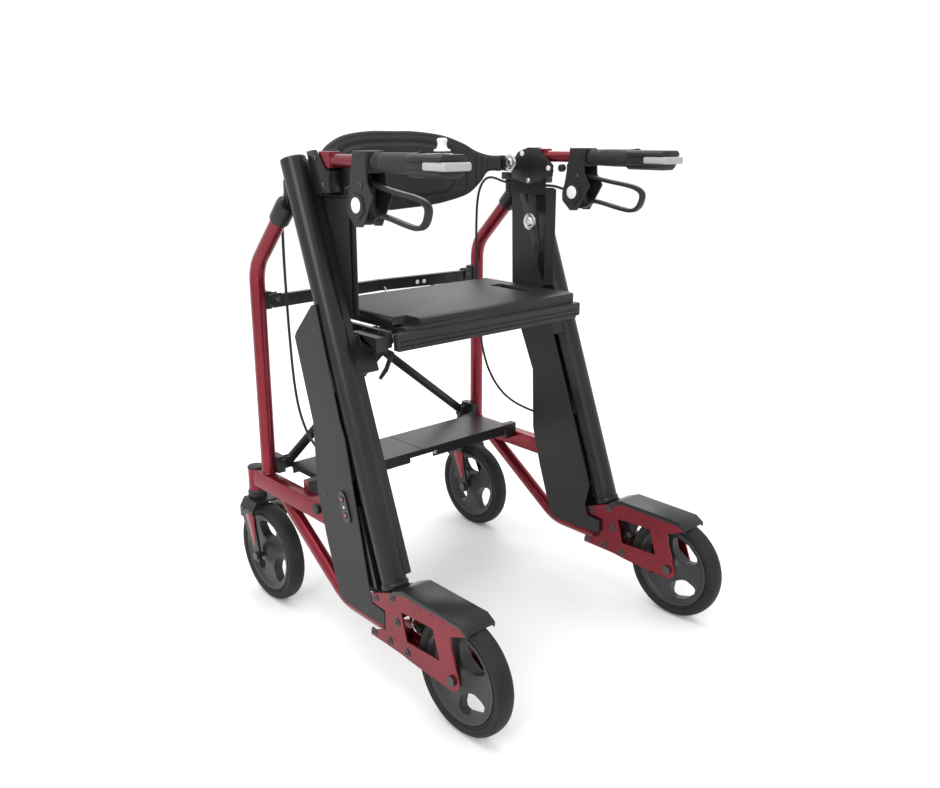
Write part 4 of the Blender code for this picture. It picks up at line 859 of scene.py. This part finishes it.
def backrest():
    look = backrestLook
    end = look["end"]
    upper = [(0.0, 0.8990), (0.056, 0.8985), (0.117, 0.8910), (0.159, 0.8760), (0.182, 0.8620),
             (0.205, 0.8535), (end, 0.8520)]
    lower = [(0.0, 0.7520), (0.083, 0.7570), (0.131, 0.7650), (0.169, 0.7780), (0.192, 0.8010),
             (0.205, 0.8210), (end, 0.8220)]

    def height(line, x):
        for a, b in zip(line, line[1:]):
            if x <= b[0]:
                return a[1] + (b[1] - a[1]) * (x - a[0]) / max(b[0] - a[0], 1e-6)
        return line[-1][1]

    upper, lower = ([tuple(at) for at in flowing(line, 8)] for line in (upper, lower))

    def ramp(value, start, stop):
        t = min(max((value - start) / (stop - start), 0), 1)
        return t * t * (3 - 2 * t)

    work = bmesh.new()
    bmesh.ops.create_grid(work, x_segments=look["across"], y_segments=look["up"], size=1)
    for vert in work.verts:
        x, share = vert.co.x * end, (vert.co.y + 1) / 2
        low, high = height(lower, abs(x)), height(upper, abs(x))
        vert.co = (x, look["middleY"] - look["bow"] * x**2 - look["hook"] * x**4, low + (high - low) * share)
    bmesh.ops.recalc_face_normals(work, faces=work.faces)
    pulled = bmesh.ops.extrude_face_region(work, geom=list(work.faces))["geom"]
    nearSide = {item for item in pulled if isinstance(item, bmesh.types.BMVert)}
    for vert in work.verts:
        x, z = vert.co.x, vert.co.z
        low, high = height(lower, abs(x)), height(upper, abs(x))
        share = (z - low) / (high - low)
        rim = min(share, 1 - share) * (high - low)
        slope = -2 * look["bow"] * x - 4 * look["hook"] * x**3
        out = Vector((slope, -1, 0)).normalized()
        half = look["thick"] / 2 * math.sqrt(ramp(rim + 0.0012, 0, 0.0065))
        padIn = min(look["padHalf"] - abs(x), rim - 0.022)
        if padIn < 0.02 and look["padHalf"] - abs(x) < 0.02 and rim - 0.022 < 0.02:  # rounded corners
            padIn = 0.02 - math.hypot(0.02 - (look["padHalf"] - abs(x)), 0.02 - (rim - 0.022))
        borderIn = min(0.166 - abs(x), rim - 0.0085)
        rise = look["padRise"] * ramp(padIn, 0, 0.0045) + look["borderRise"] * ramp(borderIn, 0, 0.0032)
        rise -= 0.0016 * math.exp(-((padIn + 0.0022) / 0.0016) ** 2)
        for rib in look["wideRibs"]:  # upright ribs between the pad and the strap
            rise += 0.0032 * math.exp(-((abs(x) - rib) / 0.0026) ** 2) * ramp(rim - 0.004, 0, 0.004)
        for rib in look["fineRibs"]:
            rise += 0.0012 * math.exp(-((abs(x) - rib) / 0.0013) ** 2) * ramp(rim - 0.003, 0, 0.003)
        if vert in nearSide:
            vert.co += out * (half + rise)
        else:
            vert.co -= out * (half + 0.3 * rise)
    bmesh.ops.recalc_face_normals(work, faces=work.faces)
    rest = place(work, "backrest_foam", foamSkin, "left_frame", "backrest_foam", 60)
    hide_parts("backrest")
    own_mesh(rest)


backrest()
print("backrest made")


# joystick, control panel and its marks
controlLook = {"joystick": (-0.205, 0.8683), "panelEdge": 0.0007, "buttonEdge": 0.0004, "lampRadius": 0.0022}


def controls():
    x = -handleLook["x"]
    stickY, foot = controlLook["joystick"]
    pawn = [(0, 0), (0.0012, 0), (0.0110, 0.0026), (0.0118, 0.0032), (0.0118, 0.0046), (0.0108, 0.0054),
            (0.0082, 0.0062), (0.0070, 0.0080), (0.0062, 0.0120), (0.0063, 0.0142), (0.0070, 0.0162),
            (0.0072, 0.0182), (0.0066, 0.0196), (0.0050, 0.0204), (0, 0.0207)]
    stick = place(spun(pawn, 40, (0, 0, 1), (x, stickY, foot)), "joystick_knob", whitePlastic, "joystick",
                  "white_plastic", 50)
    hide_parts("joystick")
    gaiter = [(0.0085, -0.0012), (0.0150, -0.0012), (0.0150, 0.0000), (0.0138, 0.0006), (0.0120, 0.0000),
              (0.0085, 0.0000), (0.0085, -0.0012)]
    place(spun(gaiter, 40, (0, 0, 1), (x, stickY, 0.8676)), "joystick_ring", glossBlack, "left_frame",
          "charcoal_plastic")
    eased("control_panel", glossBlack, controlLook["panelEdge"], 2)
    for name in ("up_button", "down_button"):
        eased(name, mouldedPlastic, controlLook["buttonEdge"], 2)
    for name, turn in (("up_button", 1), ("down_button", -1)):
        low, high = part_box(name)
        y, z = (low[1] + high[1]) / 2, (low[2] + high[2]) / 2
        triangle = [(y - 0.0030, z - 0.0020 * turn), (y + 0.0030, z - 0.0020 * turn),
                    (y + 0.0009, z + 0.0030 * turn)]
        place(slab(triangle, low[0] - 0.0002, low[0] + 0.0004, 0), name + "_mark", orangeMark, name,
              "charcoal_plastic")
    low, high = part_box("control_panel")
    y, z = (low[1] + high[1]) / 2, (low[2] + high[2]) / 2
    lamp = [(0, 0), (controlLook["lampRadius"], 0), (0.0020, 0.0005), (0, 0.0007)]
    place(spun(lamp, 24, (-1, 0, 0), (low[0] + 0.0001, y, z)), "panel_lamp", whitePlastic, "left_frame",
          "white_plastic")


controls()
print("controls made")

# floor
floorSize = 14
floorWork = bmesh.new()
bmesh.ops.create_grid(floorWork, x_segments=1, y_segments=1, size=floorSize)
floorMesh = bpy.data.meshes.new("floor")
floorWork.to_mesh(floorMesh)
floorWork.free()
floorMesh.materials.append(floorPaint)
floor = bpy.data.objects.new("floor", floorMesh)
bpy.context.scene.collection.objects.link(floor)
